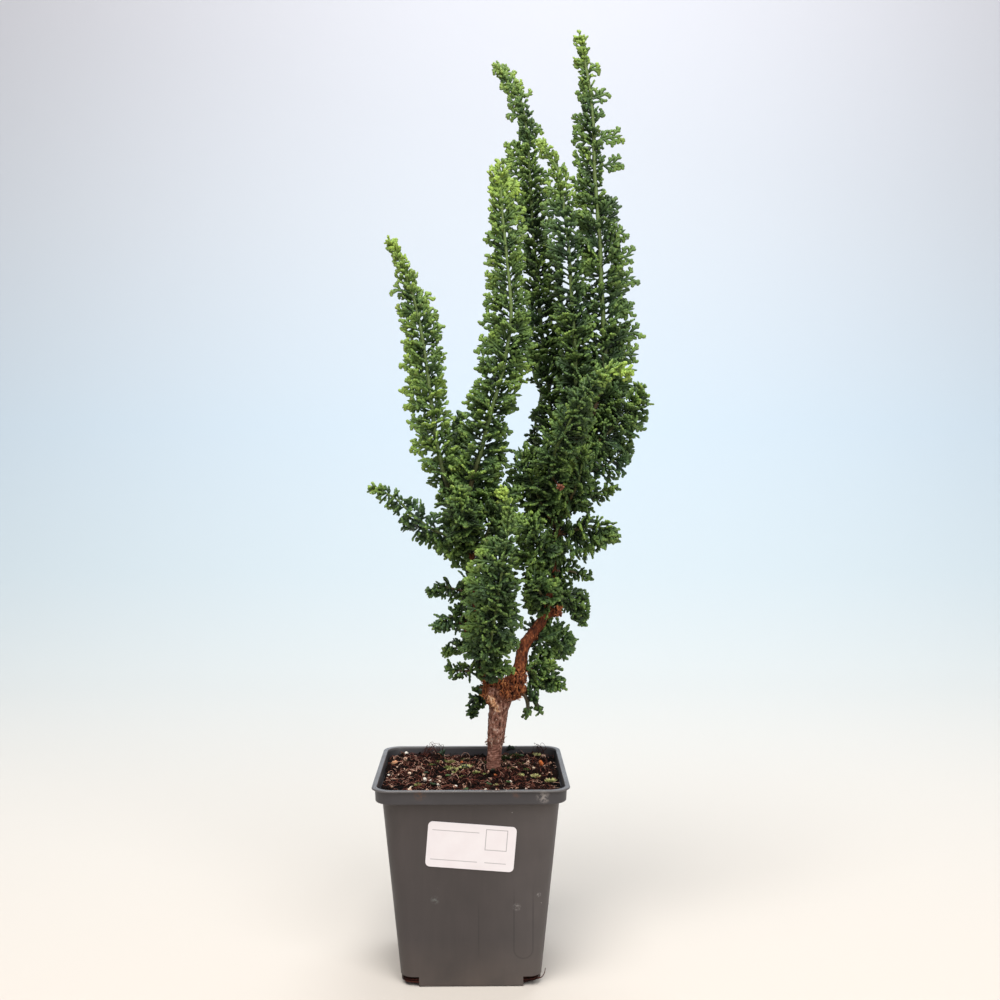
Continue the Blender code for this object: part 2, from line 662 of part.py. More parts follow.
def fan_on(root, fan, grown=0.0):
    """A lobed fan raised on four corners of a core, as (points, faces) with the root's four corners first.

    The root runs round: low left, low right, high right, high left. Both of the fan's faces are split into
    the same triangles, so that its bend leaves them parallel. It has no face under its root."""
    along, roll, length, arch, lobes = fan
    middle = sum(root, Vector()) / 4
    upward = root[2] + root[3] - root[0] - root[1]
    upward = (upward - along * upward.dot(along)).normalized()
    upward = Matrix.Rotation(roll, 3, along) @ upward
    leftward = along.cross(upward)
    outline = fan_outline(lobes, length, grown)
    points = list(root)
    for thickness_side in (1, -1):
        for x, y in outline:
            rise = thickness_side * (BLADE_THICKNESS / 2 + grown) + arch * (x / length) ** 2
            points.append(middle + along * x + upward * y + leftward * rise)
    left = [0] + list(range(4, 4 + len(outline))) + [3]
    right = [1] + list(range(4 + len(outline), 4 + 2 * len(outline))) + [2]
    end = len(left) - 1
    sheet = []
    start = 0
    for lobe in range(lobes):
        after = 3 * lobe + 3 if lobe < lobes - 1 else end
        sheet += [(start, 3 * lobe + 1, 3 * lobe + 2), (start, 3 * lobe + 2, after)]
        start = after
    valleys = list(range(3, end, 3))
    sheet += [(0, before, after) for before, after in zip(valleys, valleys[1:] + [end])]
    faces = [tuple(left[index] for index in triangle) for triangle in sheet]
    faces += [tuple(right[index] for index in reversed(triangle)) for triangle in sheet]
    for index in range(end):
        faces.append((left[index], right[index], right[index + 1]))
        faces.append((left[index], right[index + 1], left[index + 1]))
    return points, faces


def sprig_on(shoot, root, share, draw):
    """(way out, way up, lean, roll, length, arch, lobes) of the sprig that a root would carry."""
    upward = (root[2] + root[3] - root[0] - root[1]).normalized()
    out = (root[1] - root[0]).cross(root[3] - root[0]).normalized()
    steady = LEAN_AT_START + (LEAN_AT_TIP - LEAN_AT_START) * share**3
    lean = math.radians(steady + draw.uniform(-LEAN_SPREAD, LEAN_SPREAD))
    reach = three_way(shoot.reach, share) * draw.uniform(*REACH_SPREAD)
    length = max(MIN_FAN, reach * (1 - ROOT_SHARE))
    roll = math.radians(draw.choice((-1, 1)) * draw.uniform(*ROLL_SPREAD))
    return out, upward, lean, roll, length, draw.uniform(-ARCH_SPREAD, ARCH_SPREAD), draw.choice((2, 3))


def crosses(points, faces, others):
    """Whether a face meets another that shares no corner with it."""
    tree = BVHTree.FromPolygons(points, faces)
    other_tree = BVHTree.FromPolygons(points, others)
    return any(not set(faces[here]) & set(others[there]) for here, there in tree.overlap(other_tree))


def raised(points, quad, fan, grown=0.0):
    """A fan's own points and faces, numbered to follow the core's points that it stands on."""
    fan_points, fan_faces = fan_on([points[index] for index in quad], fan, grown)
    offset = len(points) - 4
    return fan_points[4:], [tuple(quad[index] if index < 4 else index + offset for index in face)
                            for face in fan_faces]


def fitted_fan(shoot, points, faces, core_faces, quad, sprig, room):
    """The new points and faces of the first fan that finds room, swung outward or shortened, or None.

    A fan grown all round by the clearance meets no other node, and one grown by half of it meets neither
    its own core nor its own shoot's fans."""
    out, upward, lean, roll, length, arch, lobes = sprig
    root = [points[index] for index in quad]
    others = faces + [face for face in core_faces if not set(face) <= set(quad)]
    for shrink, swing, untwist in TRIES:
        along = out * math.cos(lean - swing) + upward * math.sin(lean - swing) + Vector((0, 0, -shoot.droop))
        fan = (along.normalized(), roll * untwist, length * shrink, arch * shrink, lobes)
        fan_points, fan_faces = raised(points, quad, fan)
        grown_points, _ = raised(points, quad, fan, grown=CLEARANCE / 2)
        if crosses(points + fan_points, fan_faces, others + fan_faces):
            continue
        if crosses(points + grown_points, fan_faces, others):
            continue
        if room.is_free(shoot.name, fan_on(root, fan, grown=CLEARANCE + ROOM_MARGIN)):
            room.take(shoot.name, fan_on(root, fan))
            return fan_points, fan_faces
    return None


def make_shoot(shoot, look, room):
    """A leafy shoot as one solid: a core, with pairs of lobed fans raised crosswise from its sides."""
    draw = random.Random(shoot.name)
    rings = core_rings(shoot)
    points = [corner for ring in rings for corner in ring]
    bands = len(rings) - 1
    sides = [(band, corner) for band in range(bands) for corner in range(4)]
    quads = [(4 * band + corner, 4 * band + (corner + 1) % 4, 4 * band + 4 + (corner + 1) % 4,
              4 * band + 4 + corner) for band, corner in sides]
    quads.append(tuple(range(bands * 4, bands * 4 + 4)))
    core_faces = [(3, 2, 1, 0)]
    for quad in quads:
        core_faces += [quad[:3], (quad[0], quad[2], quad[3])]
    faces = [(3, 2, 1, 0)]
    for (band, corner), quad in zip(sides, quads):
        share = (band + 0.5) / bands
        fan = None
        if corner % 2 == band % 2 and share >= shoot.bare:
            sprig = sprig_on(shoot, [points[index] for index in quad], share, draw)
            fan = fitted_fan(shoot, points, faces, core_faces, quad, sprig, room)
        add_side(points, faces, quad, fan)
    tip_way = (sum(rings[-1], Vector()) - sum(rings[-2], Vector())).normalized()
    upward = (rings[-1][3] - rings[-1][0]).normalized()
    tip = (tip_way, upward, 0.0, 0.0, tip_fan_length(shoot), 0.0, 3)
    add_side(points, faces, quads[-1], fitted_fan(shoot, points, faces, core_faces, quads[-1], tip, room))
    return mesh_object(shoot.name, points, faces, look, smooth=False)


def add_side(points, faces, quad, fan):
    """Closes one four-cornered side of a core, with two triangles or with the fan that stands on it."""
    if fan:
        points += fan[0]
        faces += fan[1]
    else:
        faces += [quad[:3], (quad[0], quad[2], quad[3])]


def main():
    clear_scene()
    plastic = material("pot_plastic", (0.075, 0.075, 0.082), 0.45)
    peat = material("soil", (0.055, 0.028, 0.018), 0.95)
    paper = material("label_paper", (0.82, 0.78, 0.79), 0.6)
    bark = material("bark", (0.24, 0.10, 0.055), 0.85)
    foliage = material("foliage", (0.045, 0.13, 0.035), 0.6)
    room = Room()
    make_pot(plastic)
    make_soil(peat)
    make_label(paper)
    make_wood(bark, room)
    for shoot in SHOOTS:
        room.take(shoot.name, loft(core_rings(shoot)))
    for shoot in SHOOTS:
        make_shoot(shoot, foliage, room)


main()
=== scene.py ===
"""The looks of a young hinoki cypress in its square nursery pot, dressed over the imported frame.

Lengths in this file are millimetres, and mesh_piece() and the stage turn them into Blender's metres. The
origin is the middle of the pot's underside, +Z is up, and the camera looks along +Y.

Each leafy shoot replaces its CAD node: a thin stem on the same route carries flat sprays, and each spray is
a leafy midrib with blunt, scale-leaved branchlets on both sides. The wood, the soil, the pot and the label
replace theirs with finer forms of the same size.
"""

import math
import random

import bmesh
import bpy
import numpy as np
from mathutils import Matrix, Vector, noise

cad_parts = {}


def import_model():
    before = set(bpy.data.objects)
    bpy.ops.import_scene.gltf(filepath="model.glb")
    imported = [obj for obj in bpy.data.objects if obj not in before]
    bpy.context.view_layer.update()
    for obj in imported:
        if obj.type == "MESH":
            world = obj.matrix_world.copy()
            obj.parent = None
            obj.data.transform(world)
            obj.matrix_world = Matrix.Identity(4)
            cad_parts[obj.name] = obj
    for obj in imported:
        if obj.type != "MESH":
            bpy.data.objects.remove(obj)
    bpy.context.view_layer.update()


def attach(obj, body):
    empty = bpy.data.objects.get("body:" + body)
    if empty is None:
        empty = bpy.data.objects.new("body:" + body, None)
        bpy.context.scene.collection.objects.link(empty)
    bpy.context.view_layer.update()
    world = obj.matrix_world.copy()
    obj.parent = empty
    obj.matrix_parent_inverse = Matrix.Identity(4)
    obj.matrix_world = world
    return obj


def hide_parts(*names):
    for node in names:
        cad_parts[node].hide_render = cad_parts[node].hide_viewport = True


MM = 0.001
UP = Vector((0, 0, 1))
GOLDEN_ANGLE = math.radians(137.508)

# Seed of noise_vector, which otherwise differs from run to run
NOISE_SEED = 1

# Camera, found from the pot's taper and rim in the photograph
CAMERA_AT = (4.9, -740.2, 294.3)
CAMERA_YAW = math.radians(-0.92)
CAMERA_PITCH = math.radians(88.25)
CAMERA_LENS = 45.54
SENSOR_WIDTH = 36.0

# Stage, in metres: the floor's near edge, where it starts to turn up, how round it turns, and its sizes
FLOOR_NEAR_EDGE = -4.0
FLOOR_TURNS_AT = 0.9
FLOOR_RADIUS = 1.6
FLOOR_STEPS = 28
FLOOR_HALF_WIDTH = 5.0
FLOOR_BELOW = 0.0003
BACKDROP_HEIGHT = 4.0

# Colours from the near edge of the floor to the top of the backdrop
STAGE_COLOURS = [(0.0, (0.60, 0.52, 0.445)), (0.20, (0.635, 0.60, 0.555)), (0.34, (0.63, 0.645, 0.63)),
                 (0.46, (0.58, 0.635, 0.655)), (0.62, (0.575, 0.64, 0.69)), (0.82, (0.64, 0.645, 0.67)),
                 (1.0, (0.68, 0.64, 0.655))]

# Lamps, in metres: name, place, what they point at, width, watts and colour
PLANT_MIDDLE = (0.0, 0.0, 0.28)
LAMPS = [
    ("key", (-0.3, -0.95, 2.0), PLANT_MIDDLE, 1.3, 46, (1.0, 0.99, 0.97)),
    ("fill", (0.75, -1.4, 1.15), PLANT_MIDDLE, 1.2, 18, (0.98, 0.99, 1.0)),
    ("top", (0.3, 0.6, 1.8), PLANT_MIDDLE, 0.9, 8, (1.0, 1.0, 1.0)),
    ("backdrop", (0.28, 1.1, 2.3), (0.10, 2.5, 1.0), 1.6, 31, (0.80, 0.91, 1.0)),
]
WORLD_COLOUR = (0.90, 0.95, 1.0, 1.0)
WORLD_STRENGTH = 0.30

# Pot: the same sizes as the solid
POT_HEIGHT = 114.5
POT_WALL = 1.2
POT_FLOOR = 1.6
POT_HALF_FOOT = 39.2
POT_HALF_UNDER_BAND = 49.4
BAND_BOTTOM = 106.2
LEDGE_HEIGHT = 107.4
BAND_HALF = 53.0
LIP_HALF = 55.0
LIP_THICKNESS = 1.1
LIP_WIDTH = 2.7
CORNER_RADIUS = 10.5
NOTCH_HALF_GAP = 29.2
NOTCH_HEIGHT = 5.6

# Pot: the soft edges of the moulding, how finely its corners turn, and how far out the notches are cut
FOOT_EDGE = 0.5
BAND_EDGE = 0.8
LIP_EDGE = 0.5
CORNER_STEPS = 10
NOTCH_CUT_REACH = 60.0
POT_CORNERS = [(-1, -1), (-1, 1), (1, -1), (1, 1)]
POT_BODY = [(0.30, (0.041, 0.034, 0.033)), (0.70, (0.054, 0.044, 0.042))]
POT_BAND = [(0.30, (0.036, 0.033, 0.036)), (0.70, (0.050, 0.046, 0.049))]
# Painted highlight: the lip's colour is paler than the body's, standing in for the light that the lip's top
# catches
POT_LIP_PAINTED_HIGHLIGHT = (0.092, 0.085, 0.084)

# Marks on the pot: place, reach, colour and how strong
POT_MARKS = [
    ((39.5, -53.4, 110.6), 4.5, (0.30, 0.27, 0.25), 0.8),
    ((-27.8, -53.4, 112.0), 4.0, (0.13, 0.060, 0.030), 0.6),
    ((25.0, -53.4, 112.4), 3.0, (0.13, 0.060, 0.035), 0.5),
    ((37.8, -44.3, 53.3), 1.6, (0.32, 0.30, 0.29), 0.6),
    ((25.5, -43.7, 46.4), 2.6, (0.28, 0.26, 0.25), 0.5),
    ((-20.0, -44.1, 50.7), 2.8, (0.17, 0.18, 0.17), 0.5),
]

# A long scuff on the front, round at its foot: its middle, half its width, and the heights between which
# its sides run
SCUFF = (29.2, 5.3, 21.6, 60.0)

# A faint line of the mould on the front: how far across, and between which heights
MOULD_LINE = (4.2, 16.0, 50.0)

# Label: its lines are (left, right, height) and its square is (left, right, low, high), from its middle
LABEL_WIDTH = 49.0
LABEL_HEIGHT = 26.0
LABEL_THICKNESS = 0.4
LABEL_CORNER = 2.6
LABEL_CORNER_STEPS = 8
LABEL_MIDDLE_HEIGHT = 81.5
LABEL_TURN = math.radians(-4.6)
LABEL_GAP = 0.05
LABEL_LINES = [(-22.0, 4.0, 8.3), (-22.0, 4.0, -8.6), (8.0, 20.0, -8.6)]
LABEL_LINE_WIDTH = 0.45
LABEL_SQUARE = (7.6, 19.8, -1.4, 10.8)
LABEL_PAPER = [(0.3, (0.735, 0.680, 0.69)), (0.7, (0.765, 0.720, 0.73))]
LABEL_INK = (0.16, 0.14, 0.15)

# Soil: heaps are (x, y, reach, height), and relief is (how far across its lumps are, how high)
SOIL_LEVEL = 108.5
SOIL_LOWEST = 108.1
SOIL_HEAPS = [(13.0, 14.0, 24.0, 2.0), (-33.0, 42.0, 15.0, 2.8), (36.0, 41.0, 13.0, 2.2),
              (-46.0, 18.0, 13.0, 2.4), (45.0, 6.0, 12.0, 2.0), (0.0, -44.0, 30.0, 0.8)]
SOIL_RELIEF = [(6.5, 2.1), (2.4, 1.0), (1.0, 0.7)]
SOIL_GAP = 0.6
SOIL_SIDES = 330
SOIL_RINGS = 52
TRUNK_HOLE = 4.9
# Painted shade: over this depth above its lowest point the soil is painted darker, down to near black
SHADED_HOLLOW_DEPTH = 2.4
PEAT_COLOURS = [(0.36, (0.001, 0.0006, 0.0005)), (0.50, (0.005, 0.002, 0.0015)),
                (0.60, (0.018, 0.007, 0.0045)), (0.72, (0.060, 0.023, 0.013))]

# Loose trim on the soil. Fibres lie in patches, whose width is FIBRE_PATCH.
LARGE_CRUMBS = 300
SMALL_CRUMBS = 1100
CLEAR_OF_TRUNK = 6.0
SOIL_FIBRES = 2100
FIBRE_PATCH = 7.5
FIBRES_BARE_BELOW = -0.12
CURLY_ROOTS = [(-29, 46), (-22, 45), (43, 45)]
ROOTS_IN_CURL = 7
DRAIN_ROOTS = 18
FALLEN_SPRIGS = 14
LEANING_SPRIGS = [((21.5, 48.0, 113.0), (0.85, 0.0, 0.5), 4.6), ((-18.0, 44.0, 110.5), (-0.3, 0.2, 0.9), 3.5)]
ESCAPED_ROOT = [(37.0, -39.5, 4.5), (39.6, -40.3, 5.6), (41.0, -40.6, 8.0), (41.6, -40.0, 10.5)]

# Grit, chips and leaf bits on the soil: place, three radii, and where in the ramp its colour lies
SOIL_BITS = [
    (-41.0, 47.0, (1.3, 1.1, 1.0), 0.03), (-49.0, 3.6, (0.9, 0.8, 0.8), 0.02),
    (-26.9, -10.9, (1.5, 1.2, 1.0), 0.0), (-19.1, -20.2, (1.1, 0.9, 0.8), 0.08),
    (-23.5, -13.0, (1.0, 0.8, 0.8), 0.03), (22.7, -14.0, (1.1, 0.8, 0.7), 0.1),
    (-8.5, -30.0, (0.8, 0.7, 0.6), 0.05), (8.0, -33.0, (0.9, 0.6, 0.5), 0.12),
    (-34.1, -28.8, (1.4, 1.0, 0.7), 0.2), (31.0, -34.0, (0.7, 0.6, 0.5), 0.02),
    (-47.0, 23.2, (3.0, 1.7, 1.1), 0.45), (36.8, 13.1, (0.9, 2.6, 0.9), 0.22),
    (42.0, 21.7, (2.2, 1.4, 1.0), 0.62), (-6.1, 32.7, (1.3, 1.0, 0.9), 0.66),
    (21.5, 46.5, (1.8, 0.9, 0.7), 0.12), (14.0, -4.0, (1.0, 0.8, 0.6), 0.62),
]

# Moss on the soil: place, reach, and how light its green is
MOSS_LEAVES = 34
MOSS_BLADE_RADII = [0.13, 0.17, 0.05]
MOSS = [
    (-14.0, 20.0, 2.2, 0.60), (-9.0, 5.0, 2.4, 0.72), (-5.0, -2.0, 2.0, 0.62), (-20.0, 31.0, 2.0, 0.50),
    (10.0, 30.0, 2.4, 0.30), (14.0, -24.5, 0.9, 1.10), (-24.0, 24.0, 1.8, 0.45), (24.0, 12.0, 2.6, 0.30),
    (33.0, 8.0, 2.0, 0.40), (-1.0, 22.0, 2.2, 0.40),
    (40.5, 43.5, 2.6, 1.05), (37.7, -6.2, 2.6, 1.05), (29.2, -0.1, 1.8, 0.95), (45.9, -16.7, 2.8, 0.90),
    (-17.2, 35.5, 3.0, 0.55), (-13.0, 29.0, 2.4, 0.62), (-11.2, 12.6, 3.0, 0.85), (-3.4, 12.5, 3.2, 0.95),
    (2.6, 0.3, 2.0, 0.65), (7.5, 1.5, 1.8, 0.60), (15.3, -22.9, 1.2, 0.80), (-30.2, -26.7, 1.8, 0.60),
    (20.5, 38.0, 3.6, 0.25), (27.0, 42.0, 4.2, 0.28), (20.0, 27.0, 3.6, 0.25), (30.0, 24.0, 3.2, 0.30),
    (-4.0, 38.0, 2.8, 0.35), (-40.0, 30.0, 2.4, 0.35),
]

CRUMB_COLOURS = [(0.0, (0.001, 0.0006, 0.0005)), (0.5, (0.007, 0.003, 0.002)), (0.8, (0.040, 0.014, 0.008)),
                 (0.91, (0.260, 0.120, 0.070)), (1.0, (0.760, 0.560, 0.420))]
FIBRE_COLOURS = [(0.0, (0.008, 0.003, 0.002)), (0.5, (0.072, 0.020, 0.014)), (0.8, (0.310, 0.102, 0.070)),
                 (1.0, (0.740, 0.480, 0.350))]
BIT_COLOURS = [(0.0, (0.78, 0.72, 0.64)), (0.2, (0.62, 0.50, 0.36)), (0.45, (0.44, 0.22, 0.11)),
               (0.62, (0.62, 0.14, 0.030)), (0.8, (0.10, 0.05, 0.03)), (1.0, (0.008, 0.008, 0.008))]
MOSS_COLOURS = [(0.0, (0.004, 0.008, 0.003)), (0.4, (0.030, 0.052, 0.013)), (0.7, (0.200, 0.230, 0.060)),
                (1.0, (0.600, 0.570, 0.250))]

# Trunk
TRUNK_X = 13.0
TRUNK_Y = 14.0
TRUNK_FOOT = 80.0
TRUNK_TOP = 160.0

# Knot where the trunk forks: middle and radii of each of the lumps that it is grown from
KNOT_LUMPS = [
    ((19.0, 11.5, 156.5), (11.2, 8.2, 5.4)), ((16.8, 12.5, 150.5), (6.4, 6.4, 6.5)),
    ((26.0, 9.5, 159.5), (6.4, 5.2, 4.2)), ((27.8, 9.0, 165.0), (4.6, 4.2, 4.4)),
    ((10.5, 8.5, 157.0), (3.6, 4.4, 4.8)), ((12.0, 6.5, 152.5), (2.8, 3.0, 3.4)),
    ((17.5, 12.5, 161.5), (6.0, 6.5, 2.6)),
]

# Wood: the route of each limb, and its radius at the route's start, middle and end
LIMBS = {
    "trunk": ([(13, 14, 80), (13, 14, 96), (13.2, 14, 113), (14.4, 14, 128), (15.9, 13, 143),
               (17.5, 12, 158)], (4.6, 4.2, 6.0)),
    "right_limb": ([(19, 12, 157), (28, 12, 169), (31, 13, 183), (37, 13, 192), (43, 14, 201), (47, 15, 217),
                    (49, 15, 235), (52, 14, 259), (56, 13, 277), (63, 12, 298)], (4.3, 2.4, 1.9)),
    "left_limb": ([(19, 12, 157), (10, 9, 164), (6, 7, 174), (4, 5, 189), (2, 4, 213), (-1, 2, 236),
                   (-4, 1, 254)], (3.4, 2.0, 1.7)),
    "stub_right": ([(43, 14, 201), (48, 12, 204), (53, 10, 205)], (2.4, 2.6, 2.7)),
    "stub_left_upper": ([(3, 5, 197), (-2, 3, 199), (-7, 2, 200)], (1.2, 1.2, 1.3)),
    "stub_left_lower": ([(3, 5, 194), (0, 2, 195), (-4, 0, 195)], (1.1, 1.1, 1.2)),
}
LIMB_SIDES = 14
SPUR_SIDES = 8
WOOD_VOXEL = 0.5

# Bark: ridges and fibres are as long and wide as their sizes say, and the bark thins at two heights. It is
# a step thicker from a ragged ring up to the trunk's top.
BARK_RIDGE_SIZE = (1.5, 1.5, 5.5)
BARK_STEP = 0.45
BARK_STEP_HEIGHT = 126.5
SMOOTHER_ABOVE = (165.0, 215.0)
FINE_FIBRE_SIZE = (0.8, 0.8, 2.0)
FINE_FIBRE_DEPTH = 2.0
BROAD_FIBRE_SIZE = (1.7, 1.7, 4.6)
BROAD_FIBRE_DEPTH = 1.5
RAW_FLATNESS = 0.45

# Where the knot has torn into orange fibres, and where raw wood shows: place and reach
TORN_PLACES = [((27.8, 6.5, 166.0), 5.6), ((17.5, 8.0, 163.5), 5.0), ((27.0, 5.5, 157.5), 5.2),
               ((21.5, 3.5, 158.5), 5.0),
               ((8.0, 7.0, 157.5), 3.0), ((10.5, 4.0, 153.0), 3.2), ((17.0, 19.0, 158.0), 7.0),
               ((52.5, 10.0, 205.0), 3.4),
               ((9.0, 7.0, 163.5), 4.4)]
RAW_PLACES = [((11.8, 3.6, 153.2), 2.3), ((10.2, 4.6, 154.6), 1.6), ((13.2, 5.2, 150.4), 1.7),
              ((15.0, 7.2, 148.0), 1.6), ((15.6, 8.0, 146.2), 1.2)]

# Flakes and splinters: where they lie, how many, how orange, the darkest shade, the greatest length and
# width, how far they curl, and how far they stand off
SCRAPS = [
    ("ring", 85, 0.1, 0.6, 3.2, 1.7, 1.5, 0.1), ("trunk", 420, 0.0, 0.0, 1.6, 0.9, 0.5, 0.0),
    ("limb", 70, 0.8, 0.0, 2.0, 1.0, 0.4, 0.0), ("crests", 190, 1.0, 0.2, 3.0, 0.8, 0.3, 0.7),
]
SCRAP_SUNK = 0.25
STRIP_STEPS = 3

SMOOTH_BARK = [(0.32, (0.060, 0.020, 0.014)), (0.48, (0.190, 0.074, 0.050)), (0.66, (0.480, 0.250, 0.185))]
SCALY_BARK = [(0.34, (0.028, 0.010, 0.007)), (0.45, (0.170, 0.068, 0.045)), (0.56, (0.350, 0.165, 0.115)),
              (0.66, (0.560, 0.380, 0.300))]
LIMB_BARK = [(0.32, (0.018, 0.006, 0.003)), (0.46, (0.095, 0.024, 0.010)), (0.58, (0.210, 0.056, 0.020)),
             (0.72, (0.380, 0.140, 0.052))]
UPPER_BARK = [(0.36, (0.016, 0.010, 0.005)), (0.54, (0.080, 0.042, 0.018)), (0.70, (0.170, 0.110, 0.050))]
TORN_FIBRES = [(0.20, (0.030, 0.009, 0.005)), (0.40, (0.125, 0.034, 0.014)), (0.62, (0.350, 0.104, 0.034)),
               (0.88, (0.680, 0.290, 0.105))]
RAW_WOOD = [(0.38, (0.300, 0.095, 0.035)), (0.50, (0.720, 0.370, 0.190)), (0.64, (0.900, 0.660, 0.460))]
GREY_SCRAPS = [(0.0, (0.050, 0.020, 0.014)), (0.55, (0.190, 0.085, 0.058)), (0.85, (0.340, 0.200, 0.140)),
               (1.0, (0.600, 0.480, 0.400))]
ORANGE_SCRAPS = [(0.0, (0.040, 0.010, 0.004)), (0.6, (0.240, 0.062, 0.018)), (1.0, (0.680, 0.270, 0.085))]

# A twig in the crown whose tip has died and turned brown: its route, its leaves, and how orange they are
DEAD_TWIG = [(48.0, -6.0, 283.5), (49.5, -18.0, 281.5), (50.4, -25.0, 280.0)]
DEAD_LEAVES = 7
DEAD_WARMTH = 0.55

# Spurs and stems
SPUR_THINNEST = 0.8
SPUR_PER_REACH = 0.03
STEM_TIP_RADIUS = 0.55
STEM_SHARE = 0.62
STEM_SIDES = 7
STEM_EVERY = 3
STEM_KNOTS = 0.12
STEM_BROWN_PAST_WOOD = 14
CURVE_PARTS = 12
CURVE_STEP = 2.0
SHOOT_STEP = 1.0

# Branchlets: where the rings of a long one and of a short one lie along it, and how wide they are
BRANCHLET_SIDES = 4
LONG_RINGS = np.array([(0.10, 0.66), (0.50, 0.96), (0.88, 0.90)])
SHORT_RINGS = np.array([(0.22, 0.84), (0.78, 1.0)])
SHORT_BELOW = 3.9
BRANCHLET_HALF_WIDTH = 1.10
BRANCHLET_FLATNESS = 0.66
BRANCHLET_WOBBLE = 0.10
BRANCHLET_SPACING = 2.3
SHORTEST_BRANCHLET = 2.6
LONGEST_BRANCHLET = 7.2
LOBE_SPACING = 1.55
LOBE_LENGTH = 3.1
LOBE_WIDTH = 0.9
LOBELESS_LENGTH = 1.8

# Sprays: the midrib's width beside a branchlet's, how widely the branchlets spread, in degrees, and their
# length as a share of the spray's, each with what it loses along the spray
SPRAY_SPACING = 1.16
MIDRIB_WIDTH = 0.86
MIDRIB_DARKER = 0.12
SPREAD_AT_FOOT = 56
SPREAD_LOST = 16
SIDE_REACH = 0.56
SIDE_REACH_LOST = 0.26

# Shoots: how far up its wood the leaves start, how many degrees the sprays lean towards the tip, how far
# along they turn fully aside, from where those on the viewer's right are shorter, and the strays' own set
LEAVES_FROM = 0.35
LEAN_AT_FOOT = 16
LEAN_GAINED = 36
PARTED_FROM = 0.62
RIGHT_FROM = 0.6
STRAY_ROLL = math.radians(80)
STRAY_SAG = 0.12
STRAY_FRESHER = 0.06
TIP_BRANCHLETS = 5

# Greens: how much lighter a branchlet's tip is than its foot, partly as fresher growth and partly as painted
# shade at the foot, what depth in the crown takes off, partly as older growth and partly as painted shade,
# and colours from dark to fresh
TIP_FRESHNESS_AND_FOOT_SHADE = 0.28
FRESHNESS_POWER = 2.4
DEPTH_AGE_AND_SHADE = 0.30
SCALES_PER_MM = 0.95
LEAF_GREENS = [(0.0, (0.004, 0.008, 0.004)), (0.25, (0.015, 0.033, 0.010)), (0.45, (0.050, 0.098, 0.022)),
               (0.65, (0.132, 0.220, 0.043)), (1.0, (0.340, 0.480, 0.080))]
LEAF_BROWN = (0.200, 0.130, 0.060)
LEAF_BLUE = (0.040, 0.086, 0.046)
STEM_COLOURS = [(0.30, (0.135, 0.200, 0.052)), (0.55, (0.085, 0.092, 0.036)), (0.90, (0.190, 0.085, 0.045))]

# Gaps through which the sky shows, as the camera sees them against the plane through the trunk: the place
# of the middle from the viewer's left and its height, the half-width and the half-height. A branchlet is
# left out where this share of its length reaches into one.
SKY_GAPS = [
    (33.4, 331.0, 7.5, 8.0), (29.3, 316.5, 6.5, 7.0), (26.5, 305.0, 4.5, 5.0), (22.0, 296.0, 3.5, 4.0),
    (28.2, 212.7, 2.3, 6.2), (31.5, 205.6, 2.2, 3.4), (54.9, 402.0, 2.0, 20.0), (78.6, 404.0, 1.6, 11.0),
]
GAP_TEST_AT = 0.7


class Shoot:
    """One leafy shoot: where it runs, how much of it is wood, how far its sprays reach, how green it is.

    tone is its own green, from 0 for the darkest to 1 for new growth, and fresh is what its tip adds. stem
    is how many times thicker than usual its stem is, parted how far its sprays turn aside from the viewer,
    and right how long those on the viewer's right are near its tip, beside the others."""

    def __init__(self, name, route, wood, reach, crowding=1.0, droop=0.0, bare=0.0, tone=0.30, fresh=0.12,
                 strays=(), stem=1.0, parted=0.0, right=1.0):
        self.name = name
        self.route = route
        self.wood = wood
        self.reach = reach
        self.crowding = crowding
        self.droop = droop
        self.bare = bare
        self.tone = tone
        self.fresh = fresh
        self.strays = strays
        self.stem = stem
        self.parted = parted
        self.right = right


